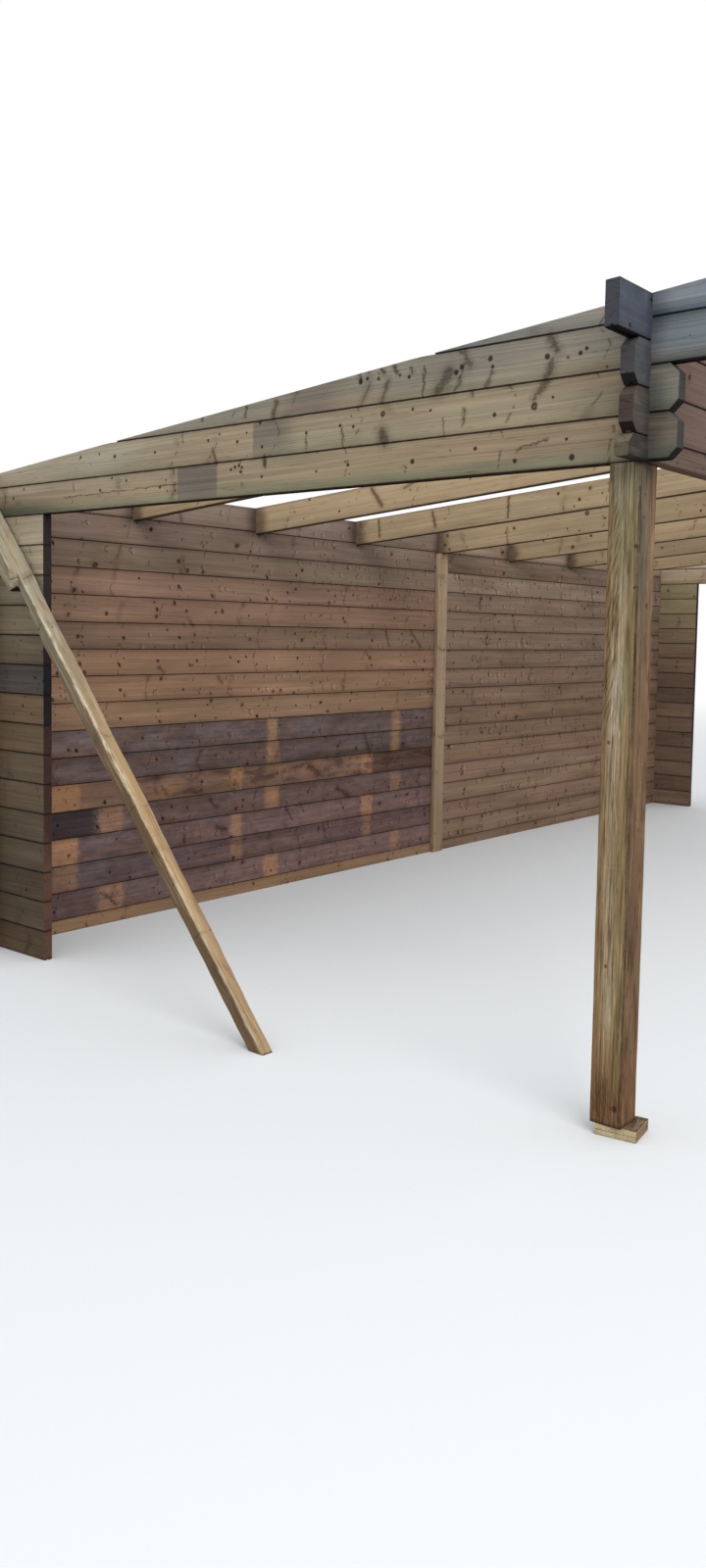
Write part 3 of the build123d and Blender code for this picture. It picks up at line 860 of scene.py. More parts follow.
rafterLook = Named(
    planedLook, number=5.5, depth=0.1475, body=paint(182, 160, 130), grey=paint(154, 142, 122),
    far=paint(154, 132, 106), branchChance=0.7, branchDepth=0.6, smudgeChance=0.25, whorlGap=0.34,
    knotChance=0.045, seams=0.8, endColour=paint(112, 100, 84),
    liftOfMarks=3000,
    # which rafter, counted from the middle one, and then its marks
    knots=(
        (-1, 252, 2310, 12), (-1, 118, 2270, 13), (-1, 150, 2235, 8), (0, 1632, 2204, 15),
        (0, 1650, 2140, 11), (0, 1098, 2231, 15), (0, 563, 2300, 19), (0, 700, 2210, 8),
        (1, 1166, 2170, 18), (1, 1408, 2222, 9), (1, 1021, 2246, 13), (-2, 1074, 2176, 10),
    ),
    strokes=(
        (-1, 1519, 2225, 1511, 2125, 11, 0.9), (-1, 1108, 2255, 1085, 2170, 16, 0.7),
        (-1, 572, 2310, 577, 2200, 11, 0.9), (0, 1156, 2225, 1145, 2130, 10, 0.5),
        (-2, 850, 2280, 780, 2190, 18, 0.8), (-2, 640, 2270, 560, 2300, 12, 0.6),
    ),
    # tints and colours of single places
    besideWall=(0.34, 0.31, 0.32, 1),
)


def rafterBody(g, p):
    look = rafterLook
    dull = g.patches(0.45, 0.8, p.y * 1.3, p.z * 6, p.rank * 3, 2)
    body = Coat(g, g.mix(dull * 0.6, look.body, look.grey))
    return body.mix(g.rise(p.x, -1, 1.5) * 0.6, look.far)


def rafterDress(g, p, colour, clouds, fibre):
    look = rafterLook
    # dark where it meets the back wall
    near = g.span(p.y + (clouds - 0.5) * 0.14, 1.63, 1.86, 0.04)
    colour.tint(near * 0.85, look.besideWall)
    # a rafter's marks lie well above those of the one before
    lift = look.liftOfMarks
    curl = g.waver(p.y * 40, p.z * 40, 8, 3, 0.65)
    place = g.vector(p.y + curl * 0.03, p.z + p.rank * (lift * millimetre), 0)
    side = p.nx < -0.5
    core, soft = strokes(g, place, [
        (y, z + rank * lift, farY, farZ + rank * lift, wide, strength)
        for rank, y, z, farY, farZ, wide, strength in look.strokes
    ])
    colour.tint(g.limit(core + soft * 0.4) * side * 0.9, timberTints.branch)
    place = g.vector(p.y + curl * 0.008, p.z + p.rank * (lift * millimetre), 0)
    knots, ringed = spots(g, place, [(y, z + rank * lift, size) for rank, y, z, size in look.knots])
    colour.tint(knots * (1 - ringed * 0.5) * side * 0.92, timberTints.knot)


# Joint covers

coverLook = Named(
    planedLook, apart=3.469, middle=logs.backY, number=6.5, body=paint(168, 145, 121),
    low=paint(144, 120, 98), endColour=paint(96, 80, 66),
)


def coverBody(g, p):
    return g.mix(g.rise(p.z, 0.9, 0, 0, 0.7), coverLook.body, coverLook.low)


# Rough timber, made again with waney arrises, fibre relief and drying cracks


def roundSection(shape, halfWide, halfDeep, arrises, sway):
    # points round a squared timber from its right face on, each with its outward direction
    corners = ((1, -1), (1, 1), (-1, 1), (-1, -1))
    placed = []
    for i, (u, v) in enumerate(corners):
        radius = arrises[i]
        centre = Vector((u * (halfWide - radius), v * (halfDeep - radius)))
        for j in range(shape.arrisColumns):
            turn = math.radians(90 * (i - 1) + 90 * (j + 0.5) / shape.arrisColumns)
            outward = Vector((math.cos(turn), math.sin(turn)))
            placed.append((centre + outward * radius, outward, 0))
        following = corners[(i + 1) % 4]
        nextRadius = arrises[(i + 1) % 4]
        outward = Vector(((1, 0), (0, 1), (-1, 0), (0, -1))[i])
        nextCentre = Vector((following[0] * (halfWide - nextRadius), following[1] * (halfDeep - nextRadius)))
        start, stop = centre + outward * radius, nextCentre + outward * nextRadius
        for share, crack in shape.columns[i]:
            moved = share + sway * 4 * share * (1 - share)
            placed.append((start.lerp(stop, moved), outward, crack))
    return placed


def faceColumns(count, cracks):
    # even shares of a face, with three close columns at each crack
    shares = {round(i / (count - 1), 4): 0 for i in range(count)}
    for place, depth in cracks:
        shares = {share: deep for share, deep in shares.items() if abs(share - place) > 0.025}
        shares.update({place - 0.016: 0, place: depth, place + 0.016: 0})
    return sorted(shares.items())


def straightBeam(start, ways, length, halves, seed):
    # of one size all along, with square ends
    return Named(
        start=start, ways=ways, length=length, seed=seed, halves=lambda share: halves,
        shift=lambda share, spot: Vector((0, 0)), ends=lambda u, v: (0, length),
    )


def addTimber(mesh, beam, shape):
    # a beam gives its start, directions and length, its half sizes and what moves its surface
    # at a share of that length, its end planes, and a seed
    start = Vector(beam.start)
    lengthways, sideways, outwards = (Vector(way) for way in beam.ways)
    seed = beam.seed
    rows = []
    for row in range(shape.rows + 1):
        share = row / shape.rows
        halfWide, halfDeep = beam.halves(share)
        middle = share * beam.length
        low, high = shape.arris
        arrises = []
        for corner in range(4):
            wane = noise.noise(Vector((middle * 3.1, corner * 7.3, seed)))
            wane += 0.5 * noise.noise(Vector((middle * 14, corner * 3.3, seed + 5)))
            arrises.append(low + (high - low) * min(max(0.5 + wane * 0.9, 0), 1))
        sway = 0.06 * noise.noise(Vector((middle * 1.6, seed, 2)))
        ring = []
        for spot, outward, crack in roundSection(shape, halfWide, halfDeep, arrises, sway):
            wave = noise.noise(Vector((spot.x * 14, spot.y * 14, middle * 2 + seed)))
            fibre = noise.noise(Vector((spot.x * 240, spot.y * 240, middle * 6 + seed)))
            sink = shape.wave * (0.5 + wave * 0.5) + shape.fibre * (0.5 + fibre * 0.5)
            opened = noise.noise(Vector((spot.x * 60, middle * 1.3, seed + 9))) + 0.12
            sink += crack * min(max(opened * 5, 0), 1)
            spot = spot - outward * sink + beam.shift(share, spot)
            first, last = beam.ends(spot.x, spot.y)
            along = first + (last - first) * share
            place = start + lengthways * along + sideways * spot.x + outwards * spot.y
            ring.append(mesh.verts.new(place))
        rows.append(ring)
    count = len(rows[0])
    for lower, upper in zip(rows, rows[1:]):
        for i in range(count):
            j = (i + 1) % count
            face = mesh.faces.new((lower[i], lower[j], upper[j], upper[i]))
            face.smooth = True
    mesh.faces.new(list(reversed(rows[0])))
    mesh.faces.new(rows[-1])


def makePiece(name, beams, shape, wood, replaced):
    bm = bmesh.new()
    for beam in beams:
        addTimber(bm, beam, shape)
    bmesh.ops.recalc_face_normals(bm, faces=bm.faces)
    mesh = bpy.data.meshes.new(name)
    bm.to_mesh(mesh)
    bm.free()
    mesh.materials.append(wood)
    piece = linked(name, mesh)
    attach(piece, "root")
    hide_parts(replaced)


# Posts: rough-sawn, with pale and green streaks outside, a brown strip and a warm front face

postLook = Named(
    planedLook, apart=3.469, middle=-1.478, size=0.106, foot=0.036, top=2.025, number=7.5,
    ring=0.0052, growth=0.25, lateness=0.12, streaky=0.6, bands=0.1, fibreSize=230,
    fibreContrast=0.42, fuzz=1.2, brown=paint(150, 125, 92), strip=paint(142, 114, 82),
    warm=paint(121, 95, 72), cool=paint(106, 98, 84), high=paint(146, 134, 112),
    dusk=paint(112, 97, 72), rim=paint(138, 106, 78), algae=paint(136, 128, 88),
    moss=paint(104, 102, 66), silver=paint(204, 194, 180), wet=paint(112, 80, 54),
    knotCell=(0.3, 0.06), knotChance=0.03, whorlKnots=0.1, branchDepth=0, smudgeDepth=0,
    # across the face, up the post, and size, on the outer and on the front face
    outerKnots=(
        (-40, 1781, 6.5), (-42, 1660, 5), (26, 1202, 6.5), (12, 526, 7), (-30, 94, 11),
    ),
    frontKnots=(
        (8, 1609, 7.5), (-26, 1864, 4), (4, 940, 5),
    ),
    # along the front arris: where, how long and how wide
    arrisMarks=(
        (1920, 70, 3.6), (1775, 22, 4), (1700, 12, 3.4), (1655, 16, 3.6), (1505, 40, 3.4),
        (1370, 30, 4), (560, 60, 3),
    ),
    # tints and colours of single places
    darkFibre=(0.46, 0.41, 0.33, 1), fleck=(0.42, 0.37, 0.3, 1), tornFibre=(0.38, 0.32, 0.22, 1),
    arrisLine=(0.24, 0.21, 0.2, 1), knot=(0.3, 0.18, 0.14, 1), damp=(0.62, 0.62, 0.62, 1),
)
postShape = Named(
    rows=150, arrisColumns=3, arris=(0.003, 0.008), fibre=0.0008, wave=0.0014,
    columns=(
        faceColumns(22, ((0.36, 0.004),)),
        faceColumns(22, ((0.6, 0.005), (0.22, 0.003))),
        faceColumns(22, ((0.12, 0.003), (0.47, 0.005), (0.8, 0.004))),
        faceColumns(22, ((0.55, 0.004),)),
    ),
)


def postBody(g, p):
    look = postLook
    z, v = p.z, p.face
    outer = g.rise(abs(p.nx), 0.5, 0.8)
    u = v - faceShift  # across the front and the back face
    wander = g.waver(z * 1.7, 1, 1, 2)
    streaks = g.noise(z * 1.9, v * 90, 3, 4, 0.7)
    finer = g.noise(z * 5, v * 210, 5, 2)
    brown = g.mix(g.rise(z, 1.5, 1.95), look.brown, look.high)
    body = Coat(g, g.mix(outer, look.warm, brown))
    # bluish beside the front arris near the top
    cool = (1 - outer) * g.fall(u + (streaks - 0.5) * 0.05, -0.02, 0.03) * g.rise(z, 1.2, 1.8)
    body.mix(cool * 0.8, look.cool)
    patchy = g.patches(0.42, 0.6, z * 3.1, v * 22, 6, 2)
    green = g.rise(streaks, 0.4, 0.56) * (0.25 + patchy * 0.75) * g.limit(0.1 + outer)
    body.mix(green * 0.6, look.algae)
    mossy = g.span(v, -0.044, 0.004, 0.012) * outer * g.patches(0.46, 0.6, z * 4.6, v * 16, 1, 2)
    body.mix(mossy * g.rise(finer, 0.3, 0.6) * 0.5, look.moss)
    # whitish streaks come and go along the middle of the outer face
    middle = g.fall(abs(v + wander * 0.03 - 0.002), 0.008, 0.034) * outer
    come = g.span(z, 1, 1.62, 0.16) + g.span(z, 0.35, 0.8, 0.1) * 0.6
    speckled = g.noise(z * 9, v * 130, 17, 4, 0.7) * 0.6 + g.noise(z * 2, v * 30, 8, 2) * 0.4
    silver = middle * (0.25 + come * 0.9) * g.rise(speckled, 0.4, 0.62)
    body.mix(g.limit(silver) * 0.62, look.silver)
    dusk = g.fall(v + (streaks - 0.5) * 0.02, -0.046, -0.018) * outer
    body.mix(dusk * g.rise(finer, 0.35, 0.6) * 0.75, look.dusk)
    strip = g.rise(v + (streaks - 0.5) * 0.03, 0.026, 0.044) * outer * g.rise(z, 1.85, 1.98, 1, 0.5)
    body.mix(strip * 0.7, look.strip)
    rim = (1 - outer) * g.rise(u + (streaks - 0.5) * 0.02, 0.032, 0.047)
    body.mix(rim * 0.7, look.rim)
    wet = g.fall(z + (streaks - 0.5) * 0.4, 0.06, 0.42)
    return body.mix(wet * 0.85, look.wet)


def postDress(g, p, colour, clouds, fibre):
    look = postLook
    z, v = p.z, p.face
    outer = g.rise(abs(p.nx), 0.5, 0.8)
    # coarser on the front, which is seen at a slant
    close = v * (46 + outer * 64)
    dark = g.patches(0.51, 0.62, z * 4.2, close, 9, 3, 0.65)
    colour.tint(dark * 0.85, look.darkFibre)
    light = g.patches(0.53, 0.64, z * 6.4, close * 1.2, 29, 3, 0.65)
    colour.mix(light * 0.7, colour.shaded(1.6))
    fleck = g.patches(0.6, 0.7, z * 26, close * 1.6, 49, 2, 0.6)
    colour.tint(fleck * 0.45, look.fleck)
    # short slanting fibres beside the brown strip, and at the foot
    slant = g.noise((v + z * 0.26) * 140, (z - v * 0.3) * 12, 2, 2, 0.6)
    torn = g.rise(slant, 0.5, 0.58) * g.rise(v, -0.008, 0.022) * outer
    torn = torn * g.span(z, 1.22, 1.93, 0.1)
    kicked = g.noise((v - z * 0.3) * 160, z * 14, 12, 2, 0.6)
    torn = torn + g.rise(kicked, 0.52, 0.6) * g.fall(z, 0.08, 0.22) * outer
    colour.tint(g.limit(torn) * 0.68, look.tornFibre)
    # a broken dark line along the front arris of the left post
    offArris = abs(p.across + 0.05) + abs(p.through + 0.049)
    jag = g.waver(z * 75, v * 60, 5, 3, 0.7) * 0.016
    broken = g.patches(0.4, 0.62, z * 5, 3, 8, 3, 0.6) * g.rise(z, 1.75, 1.55)
    line = g.fall(offArris + jag * 0.6, 0.0026, 0.0088) * (0.38 + broken * 0.6)
    for mark in look.arrisMarks:
        height, tall, wide = (size * millimetre for size in mark)
        end = g.fall(abs(z - height) + jag * 2, tall * 0.4, tall * 0.6)
        line = g.most(line, g.fall(offArris + jag, wide * 0.6, wide * 2) * end * 0.85)
    colour.tint(line * 0.9, look.arrisLine)
    blur = (fibre - 0.5) * 0.006
    outerSpots, _ = spots(g, g.vector(v + blur, z * 0.8 + blur, 0), [
        (across, up * 0.8, size) for across, up, size in look.outerKnots
    ])
    frontSpots, _ = spots(g, g.vector(v - faceShift + blur, z * 0.6 + blur, 0), [
        (across, up * 0.6, size) for across, up, size in look.frontKnots
    ])
    knots = g.limit(outerSpots * outer + frontSpots * (1 - outer)) * (p.x < -2)
    colour.tint(knots * 0.85, look.knot)
    damp = g.rise(z, 1.9, 2.02) * g.rise(clouds, 0.35, 0.6)
    colour.tint(damp * 0.5, look.damp)


def makePosts():
    look = postLook
    wood = timber("postTimber", postPlace, look, postBody, postDress)
    half = look.size / 2
    length = look.top - look.foot
    for name, rank in (("left_corner", -1), ("middle", 0), ("right_corner", 1)):
        start = (rank * look.apart, look.middle, look.foot)
        ways = ((0, 0, 1), (1, 0, 0), (0, 1, 0))
        beam = straightBeam(start, ways, length, (half, half), 3.7 + rank * 11.3)
        makePiece(name + "_rough_post", [beam], postShape, wood, name + "_post")
    print("posts made")


# Packing boards: sawn across in front of the camera, so their rough end grain shows

packerLook = Named(
    planedLook, apart=3.469, middle=-1.478, aside=0.017, forward=0.023, wide=0.122, long=0.132,
    thick=0.018, turn=math.radians(9), number=8.5, body=paint(178, 150, 118),
    sawn=paint(236, 220, 178), dusty=paint(150, 128, 100), knotChance=0.02, whorlKnots=0,
    branchDepth=0.1, smudgeDepth=0.1, seamWidth=0.0022, seams=0.9, layer=0.012, fuzz=0.9,
)
packerShape = Named(
    rows=40, arrisColumns=2, arris=(0.0006, 0.0022), fibre=0.0007, wave=0.001,
    columns=(
        faceColumns(8, ()),
        faceColumns(24, ()),
        faceColumns(8, ((0.5, 0.0015),)),
        faceColumns(24, ()),
    ),
)


def packerPlace(g, look):
    # the grain runs along the shelter
    p = readPlace(g)
    rank = g.floor(p.x / look.apart + 0.5)
    layer = p.z > look.thick
    p.along = p.x - rank * look.apart
    p.across = p.y - look.middle
    p.through = p.z - layer * look.thick
    p.face = p.across + p.through
    p.seeds = g.random(rank + 0.5, layer + 0.5, look.number)
    # thin layers show on the front, and hardly on the sawn end
    ended = abs(p.nx) > abs(p.ny)
    layers = abs(g.fraction(p.z / look.layer + 0.5) - 0.5) * look.layer + 0.0002
    p.edge = layers + ended * 0.0024
    p.cut = g.rise(abs(p.nx), 0.6, 0.8) * 0.35
    return p


def packerBody(g, p):
    look = packerLook
    rough = g.noise(p.y * 200, p.z * 200, 3, 3, 0.65)
    sawn = g.shade(look.sawn, 0.4 + rough * 1.2)
    body = Coat(g, g.mix(g.rise(abs(p.nx), 0.6, 0.8), look.body, sawn))
    return body.mix(g.rise(p.z, 0, 0.012, 0.4, 0), look.dusty)


def makePackers():
    look = packerLook
    wood = timber("packerTimber", packerPlace, look, packerBody)
    along = Vector((math.cos(look.turn), math.sin(look.turn), 0))
    over = Vector((-along.y, along.x, 0))
    half = (look.long / 2, look.thick / 2)
    for name, level in (("lower", 0), ("upper", 1)):
        beams = []
        for rank in (-1, 0, 1):
            x = rank * look.apart + look.aside
            centre = Vector((x, look.middle - look.forward, look.thick * (level + 0.5)))
            start = centre - along * look.wide / 2
            seed = 1.9 + rank * 5.1 + level * 2.3
            beams.append(straightBeam(start, (along, over, (0, 0, 1)), look.wide, half, seed))
        makePiece(name + "_sawn_packers", beams, packerShape, wood, name + "_packers")
    print("packing boards made")


# Diagonal prop: rough timber, waney, with a split-off shoulder near its top, painted straw-coloured on its
# faces that look up

foot, head = Vector((-3.696, -0.197, 0)), Vector((-3.566, logs.backInnerY, 2.04))
propAxis = (head - foot).normalized()
propSide = (Vector((1, 0, 0)) - propAxis * propAxis.x).normalized()
propLook = Named(
    planedLook, start=foot, ways=(propAxis, propSide, propAxis.cross(propSide)),
    wallY=logs.backInnerY, footSize=(0.056, 0.06), topSize=(0.085, 0.076), spur=0.038,
    spurFrom=0.838, cutBack=0.034, number=9.5, growth=0.45, clouds=0.55, body=paint(118, 96, 72),
    highBody=paint(132, 124, 108), straw=paint(168, 141, 106), highStraw=paint(158, 150, 132),
    torn=paint(214, 202, 176), rusty=paint(138, 98, 66), under=paint(98, 80, 64),
    knotCell=(0.1, 0.05), knotChance=0.05, knotLarge=0.008, whorlKnots=0.3, branchDepth=0.3,
    smudgeDepth=0.3, streaky=0.45, fibreSize=260, fibreContrast=0.22, fuzz=1.1, ring=0.0065,
    lateness=0.7,
    # along the prop, across its outer side, size
    knots=(
        (2206, 7, 5.5), (2192, 12, 4.5), (2186, 40, 5), (2172, 36, 5), (2077, 9, 5.5),
        (2109, 32, 4), (1841, 27, 5.5), (890, 10, 6),
    ),
    # tints and colours of single places
    hollow=(0.42, 0.36, 0.3, 1), ringed=(0.42, 0.3, 0.22, 1),
)
propShape = Named(
    rows=230, arrisColumns=4, arris=(0.003, 0.013), fibre=0.0007, wave=0.0026,
    columns=(
        faceColumns(12, ()),
        faceColumns(14, ((0.62, 0.003),)),
        faceColumns(12, ((0.45, 0.003),)),
        faceColumns(14, ((0.3, 0.0025),)),
    ),
)


def propHalves(share):
    look = propLook
    return tuple(
        (low + (high - low) * share) / 2 for low, high in zip(look.footSize, look.topSize)
    )


def propEnds(u, v):
    # cut level at the ground and upright against the wall
    look = propLook
    axis, sideways, outwards = look.ways
    base = look.start + sideways * u + outwards * v
    return -base.z / axis.z, (look.wallY - base.y) / axis.y


def propShift(share, spot):
    # the split-off shoulder on its outer side, which ends below in a point
    look = propLook
    low = 1 - min(max((spot.y + 0.03) / 0.06, 0), 1)
    begin = look.spurFrom + 0.012 * low
    grown = min(max((share - begin) / 0.004, 0), 1)
    slack = 0.75 + 0.45 * min(max((share - begin) / 0.1, 0), 1)
    left = min(max((0.034 - spot.x) / 0.074, 0), 1)
    # below it the timber is split away, less and less
    split = max(1 - (begin - share) / 0.12, 0) * (1 - grown) * (1 - low)
    return Vector((-look.spur * grown * slack * left, -look.cutBack * split * left))


def propBody(g, p):
    look = propLook
    facing = g.vector(p.nx, p.ny, p.nz)
    # painted light: the faces that look up take the lighter straw colour, the sides keep the darker body
    up = g.rise(g.dot(facing, (-0.25, -0.6, 0.76)), 0.5, 0.75)
    high = g.rise(p.along, 1.2, 2.4)
    body = Coat(g, g.mix(high, look.body, look.highBody))
    # a painted shade on the side that faces into the shelter
    body.mix(g.rise(p.nx, -0.2, 0.5), look.under)
    straw = g.mix(high, look.straw, look.highStraw)
    body.mix(up, straw)
    rusty = g.patches(0.54, 0.68, p.along * 7, p.face * 34, 6, 3, 0.6)
    body.mix(rusty * 0.5, look.rusty)
    pale = g.noise(p.along * 2.6, p.face * 70, 2, 3, 0.6)
    return body.mix(g.rise(pale, 0.5, 0.68) * 0.4, look.torn)


def propDress(g, p, colour, clouds, fibre):
    look = propLook
    # the arris between the two lit faces is torn and pale, with a painted highlight along it
    halfWide = 0.028 + p.along * 0.0052 + g.rise(p.along, 2.335, 2.35) * look.spur * 0.9
    halfDeep = 0.03 + p.along * 0.0029
    off = g.length(p.across + halfWide, p.through + halfDeep)
    torn = g.noise(p.along * 16, p.face * 70, 4, 3, 0.65)
    much = g.span(p.along, 1.15, 2.25, 0.25) * 0.5 + 0.35
    much = much * g.patches(0.34, 0.56, p.along * 7, 3, 4, 3, 0.6)
    off = off + (torn - 0.5) * 0.046
    colour.mix(g.fall(off, 0.003, 0.015) * much, look.torn)
    outer = g.rise(-1 * p.nx, 0.5, 0.8)
    # a painted shade in the hollow below the shoulder, and knots down the outer side
    hollow = g.span(p.along, 2.315, 2.35, 0.006) * g.span(p.through, -0.02, 0.03, 0.01)
    colour.tint(hollow * outer * 0.35, look.hollow)
    offRing = abs(p.along - 2.352 - p.across * 0.6)
    ringed = g.most(g.fall(offRing, 0.002, 0.009), g.fall(offRing, 0.01, 0.045) * 0.45)
    colour.tint(ringed * (1 - outer) * g.rise(torn, 0.3, 0.5) * 0.85, look.ringed)
    wander = (torn - 0.5) * 0.01
    place = g.vector(p.along * 0.6, p.through + wander, 0)
    knots, _ = spots(g, place, [(far * 0.6, over, size) for far, over, size in look.knots])
    colour.tint(knots * outer * 0.85, timberTints.knot)


def makeProp():
    look = propLook
    first, last = propEnds(0, 0)
    beam = Named(
        start=look.start, ways=look.ways, length=last - first, halves=propHalves,
        shift=propShift, ends=propEnds, seed=6.1,
    )
    wood = timber("propTimber", leaningPlace, look, propBody, propDress)
    makePiece("rough_diagonal_prop", [beam], propShape, wood, "diagonal_prop")
    print("prop made")


# Screws in the joint covers: two zinc heads to each log, set out by a node tree

screwLook = {
    "Head radius": 0.0050,
    "Head height": 0.0014,
    "Recess": 0.42,
    "Apart": 0.056,
    "Step": logs.height,
    "zinc": paint(150, 148, 142),
    "rust": paint(112, 84, 62),
    "hollow": paint(34, 30, 28),
    # name of the piece, how many rows, the lowest one, and the turn to the cover's face
    "rows": {
        "back_cover_screws": (15, (0.0, 1.675, 0.135), 90.0),
        "lintel_cover_screws": (2, (0.0, -1.475, 2.160), -90.0),
    },
}


def screwMetal(name, colour, dull):
    material, g, principled = newMaterial(name)
    p = readPlace(g)
    blotches = g.noise(p.x * 700, p.z * 700, p.y * 700, 3.0, 0.6)
    rusty = g.rise(blotches, 0.48, 0.62) * dull
    g.put(principled.inputs["Base Color"], g.mix(rusty, colour, screwLook["rust"]))
    g.put(principled.inputs["Roughness"], 0.42 + rusty * 0.4)
    g.put(principled.inputs["Metallic"], 0.9 - rusty * 0.6)
    return material


def screwTree():
    look = screwLook
    tree = bpy.data.node_groups.new("screwRows", "GeometryNodeTree")
    face = tree.interface
    for name in ("Head radius", "Head height", "Recess", "Apart", "Step"):
        face.new_socket(name, in_out="INPUT", socket_type="NodeSocketFloat").default_value = look[name]
    face.new_socket("Rows", in_out="INPUT", socket_type="NodeSocketInt").default_value = 1
    kinds = {"Lowest": "Vector", "Turn": "Float", "Zinc": "Material", "Hollow": "Material"}
    for name, kind in kinds.items():
        face.new_socket(name, in_out="INPUT", socket_type="NodeSocket" + kind)
    face.new_socket("Geometry", in_out="OUTPUT", socket_type="NodeSocketGeometry")
    g = Graph(tree)
    given = g.add("NodeGroupInput")
    radius, height = given.other("Head radius"), given.other("Head height")
    cone = {"Vertices": 12, "Side Segments": 1, "Radius Top": radius * 0.8}
    cone.update({"Radius Bottom": radius, "Depth": height})
    head = g.add("GeometryNodeMeshCone", {"fill_type": "NGON"}, cone)
    flat = {"Mesh": head, "Selection": head.other("Top"), "Offset Scale": 0.0, "Individual": False}
    rim = g.add("GeometryNodeExtrudeMesh", {"mode": "FACES"}, flat)
    inner = {"Geometry": rim, "Selection": rim.other("Top"), "Scale": given.other("Recess")}
    shrunk = g.add("GeometryNodeScaleElements", {"domain": "FACE"}, inner)
    deep = {"Mesh": shrunk, "Selection": rim.other("Top"), "Offset Scale": height * -0.8}
    deep["Individual"] = False
    sunk = g.add("GeometryNodeExtrudeMesh", {"mode": "FACES"}, deep)
    walls = {0: sunk.other("Top"), 1: sunk.other("Side")}
    inside = g.add("FunctionNodeBooleanMath", {"operation": "OR"}, walls)
    turned = {"Geometry": sunk, "Rotation": g.vector(given.other("Turn"), 0.0, 0.0)}
    screw = g.add("GeometryNodeTransform", None, turned)
    joined = g.add("GeometryNodeJoinGeometry")
    x, y, z = g.split(given.other("Lowest"))
    step = g.vector(0.0, 0.0, given.other("Step"))
    for side in (-0.5, 0.5):
        start = g.vector(x + given.other("Apart") * side, y, z)
        line = {"Count": given.other("Rows"), "Start Location": start, "Offset": step}
        line = g.add("GeometryNodeMeshLine", None, line)
        g.put(joined.socket.node.inputs["Geometry"], line)
    placed = g.add("GeometryNodeInstanceOnPoints", None, {"Points": joined, "Instance": screw})
    real = g.add("GeometryNodeRealizeInstances", None, {"Geometry": placed})
    zinc = g.add("GeometryNodeSetMaterial", None, {"Geometry": real, "Material": given.other("Zinc")})
    dark = {"Geometry": zinc, "Selection": inside, "Material": given.other("Hollow")}
    out = tree.nodes.new("NodeGroupOutput")
    g.put(out.inputs["Geometry"], g.add("GeometryNodeSetMaterial", None, dark))
    return tree


def makeScrews():
    tree = screwTree()
    metals = {
        "Zinc": screwMetal("wornZinc", screwLook["zinc"], 0.8),
        # the recess in each head is near black: a painted shade, with dirt and a little rust
        "Hollow": screwMetal("shadedDirtyHollow", screwLook["hollow"], 0.2),
    }
    for name, (rows, lowest, turn) in screwLook["rows"].items():
        carrier = linked(name + "Carrier", bpy.data.meshes.new(name + "Carrier"))
        modifier = carrier.modifiers.new("screws", "NODES")
        modifier.node_group = tree
        values = {"Rows": rows, "Lowest": lowest, "Turn": math.radians(turn), **metals}
        for socket in tree.interface.items_tree:
            if socket.in_out == "INPUT" and socket.name in values:
                modifier[socket.identifier] = values[socket.name]
        depsgraph = bpy.context.evaluated_depsgraph_get()
        mesh = bpy.data.meshes.new_from_object(carrier.evaluated_get(depsgraph))
        carrier.modifiers.remove(modifier)
        bpy.data.objects.remove(carrier)
        mesh.name = name
        piece = linked(name, mesh)
        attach(piece, "root")
        print(name, "made:", len(mesh.polygons), "faces")


woods = {
    "back_wall": timber("backWallTimber", logPlace, backWallLook, backWallBody, backWallDress),
    "return_wall": timber("returnWallTimber", logPlace, returnWallLook, returnWallBody),
    "side_beam": timber("sideBeamTimber", logPlace, sideBeamLook, sideBeamBody, sideBeamDress),
    "lintel": timber("lintelTimber", logPlace, lintelLook, lintelBody, lintelDress),
    "rafter": timber("rafterTimber", rafterPlace, rafterLook, rafterBody, rafterDress),
    "joint_cover": timber("coverTimber", postPlace, coverLook, coverBody),
}
for name, piece in nodes.items():
    for word, wood in woods.items():
        if word in name:
            piece.data.materials[0] = wood
print("timbers made:", len(woods))
makePosts()
makePackers()
makeProp()
makeScrews()


# Floor, light and camera

stageLook = Named(reach=60, pale=(0.7, 0.7, 0.7, 1), bounce=(0.2, 0.19, 0.18, 1))


def makeFloor():
    mesh = bpy.data.meshes.new("floor")
    far = stageLook.reach
    corners = [(-far, -far, 0), (far, -far, 0), (far, far, 0), (-far, far, 0)]
    mesh.from_pydata(corners, [], [(0, 1, 2, 3)])
    floor = linked("floor", mesh)
    material, g, principled = newMaterial("floorPaint")
    tree = material.node_tree
    tree.nodes.remove(principled)
    ray = g.add("ShaderNodeLightPath", out="Is Camera Ray")
    colour = g.mix(ray, stageLook.bounce, stageLook.pale)
    matt = g.add("ShaderNodeBsdfDiffuse", None, {"Color": colour})
    white = g.add("ShaderNodeEmission", None, {"Color": (1, 1, 1, 1), "Strength": 1})
    x, y, _ = g.split(g.add("ShaderNodeTexCoord", out="Object"))
    away = g.rise(g.length(x, y), 7, 26) * ray
    g.put(tree.nodes["Material Output"].inputs["Surface"],
          g.add("ShaderNodeMixShader", None, {0: away, 1: matt, 2: white}))
    mesh.materials.append(material)


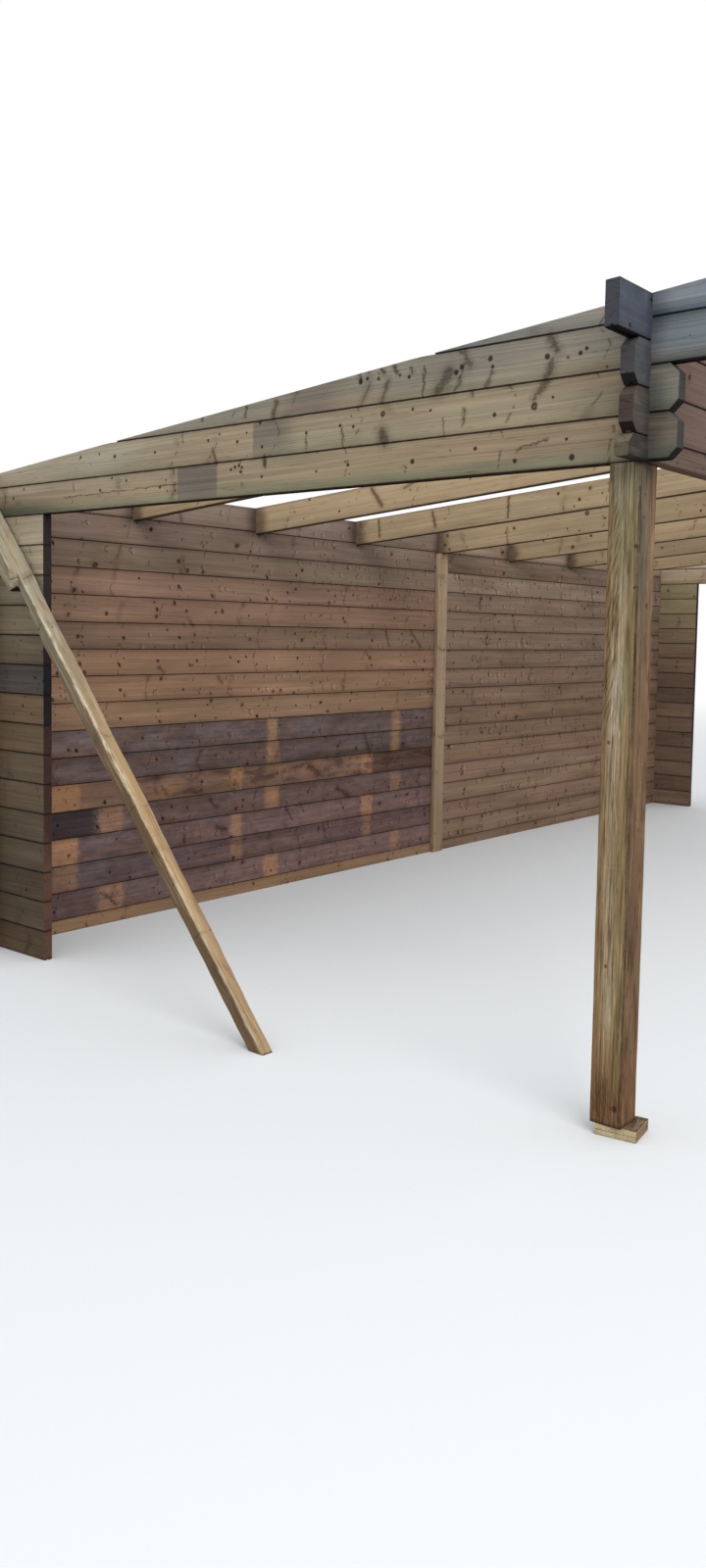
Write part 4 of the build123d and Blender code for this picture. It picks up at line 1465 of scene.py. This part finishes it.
def makeSky():
    world = bpy.data.worlds.new("softSky")
    scene.world = world
    world.use_nodes = True
    tree = world.node_tree
    g = Graph(tree)
    ray = g.add("ShaderNodeLightPath", out="Is Camera Ray")
    seen = g.most(g.most(ray, ray.other("Is Glossy Ray")), ray.other("Is Transmission Ray"))
    sky = g.add("ShaderNodeBackground", None, {"Color": (0.93, 0.97, 1, 1), "Strength": 1.12})
    white = g.add("ShaderNodeBackground", None, {"Color": (1, 1, 1, 1), "Strength": 1})
    g.put(tree.nodes["World Output"].inputs["Surface"],
          g.add("ShaderNodeMixShader", None, {0: seen, 1: sky, 2: white}))


def makeLamp(name, place, aim, size, power):
    light = bpy.data.lights.new(name, "AREA")
    light.size = size
    light.energy = power
    lamp = linked(name, light)
    lamp.location = place
    lamp.rotation_euler = (Vector(aim) - Vector(place)).to_track_quat("-Z", "Y").to_euler()


cameraLook = Named(
    place=(-6.6944, -3.099, 1.5069), yaw=39.747, pitch=-4.05, roll=0.952, lens=26.99,
    shiftY=-0.0415,
)


def makeCamera():
    look = cameraLook
    yaw, pitch, roll = (math.radians(look[name]) for name in ("yaw", "pitch", "roll"))
    ahead = Vector((math.cos(yaw) * math.cos(pitch), math.sin(yaw) * math.cos(pitch), math.sin(pitch)))
    level = Vector((math.sin(yaw), -math.cos(yaw), 0))
    over = level.cross(ahead)
    right = level * math.cos(roll) + over * math.sin(roll)
    up = over * math.cos(roll) - level * math.sin(roll)
    data = bpy.data.cameras.new("viewpoint")
    data.sensor_fit = "AUTO"
    data.sensor_width = 36
    data.lens = look.lens
    data.shift_y = look.shiftY
    data.clip_end = 200
    camera = linked("viewpoint", data)
    turn = Matrix((right, up, -ahead)).transposed().to_4x4()
    camera.matrix_world = Matrix.Translation(look.place) @ turn
    scene.camera = camera


makeFloor()
makeSky()
makeLamp("softKey", place=(-7, -7.5, 7.5), aim=(-1, 0.5, 1), size=6, power=480)
makeCamera()
scene.view_settings.view_transform = "Standard"
print("stage and camera set")

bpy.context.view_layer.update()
import json
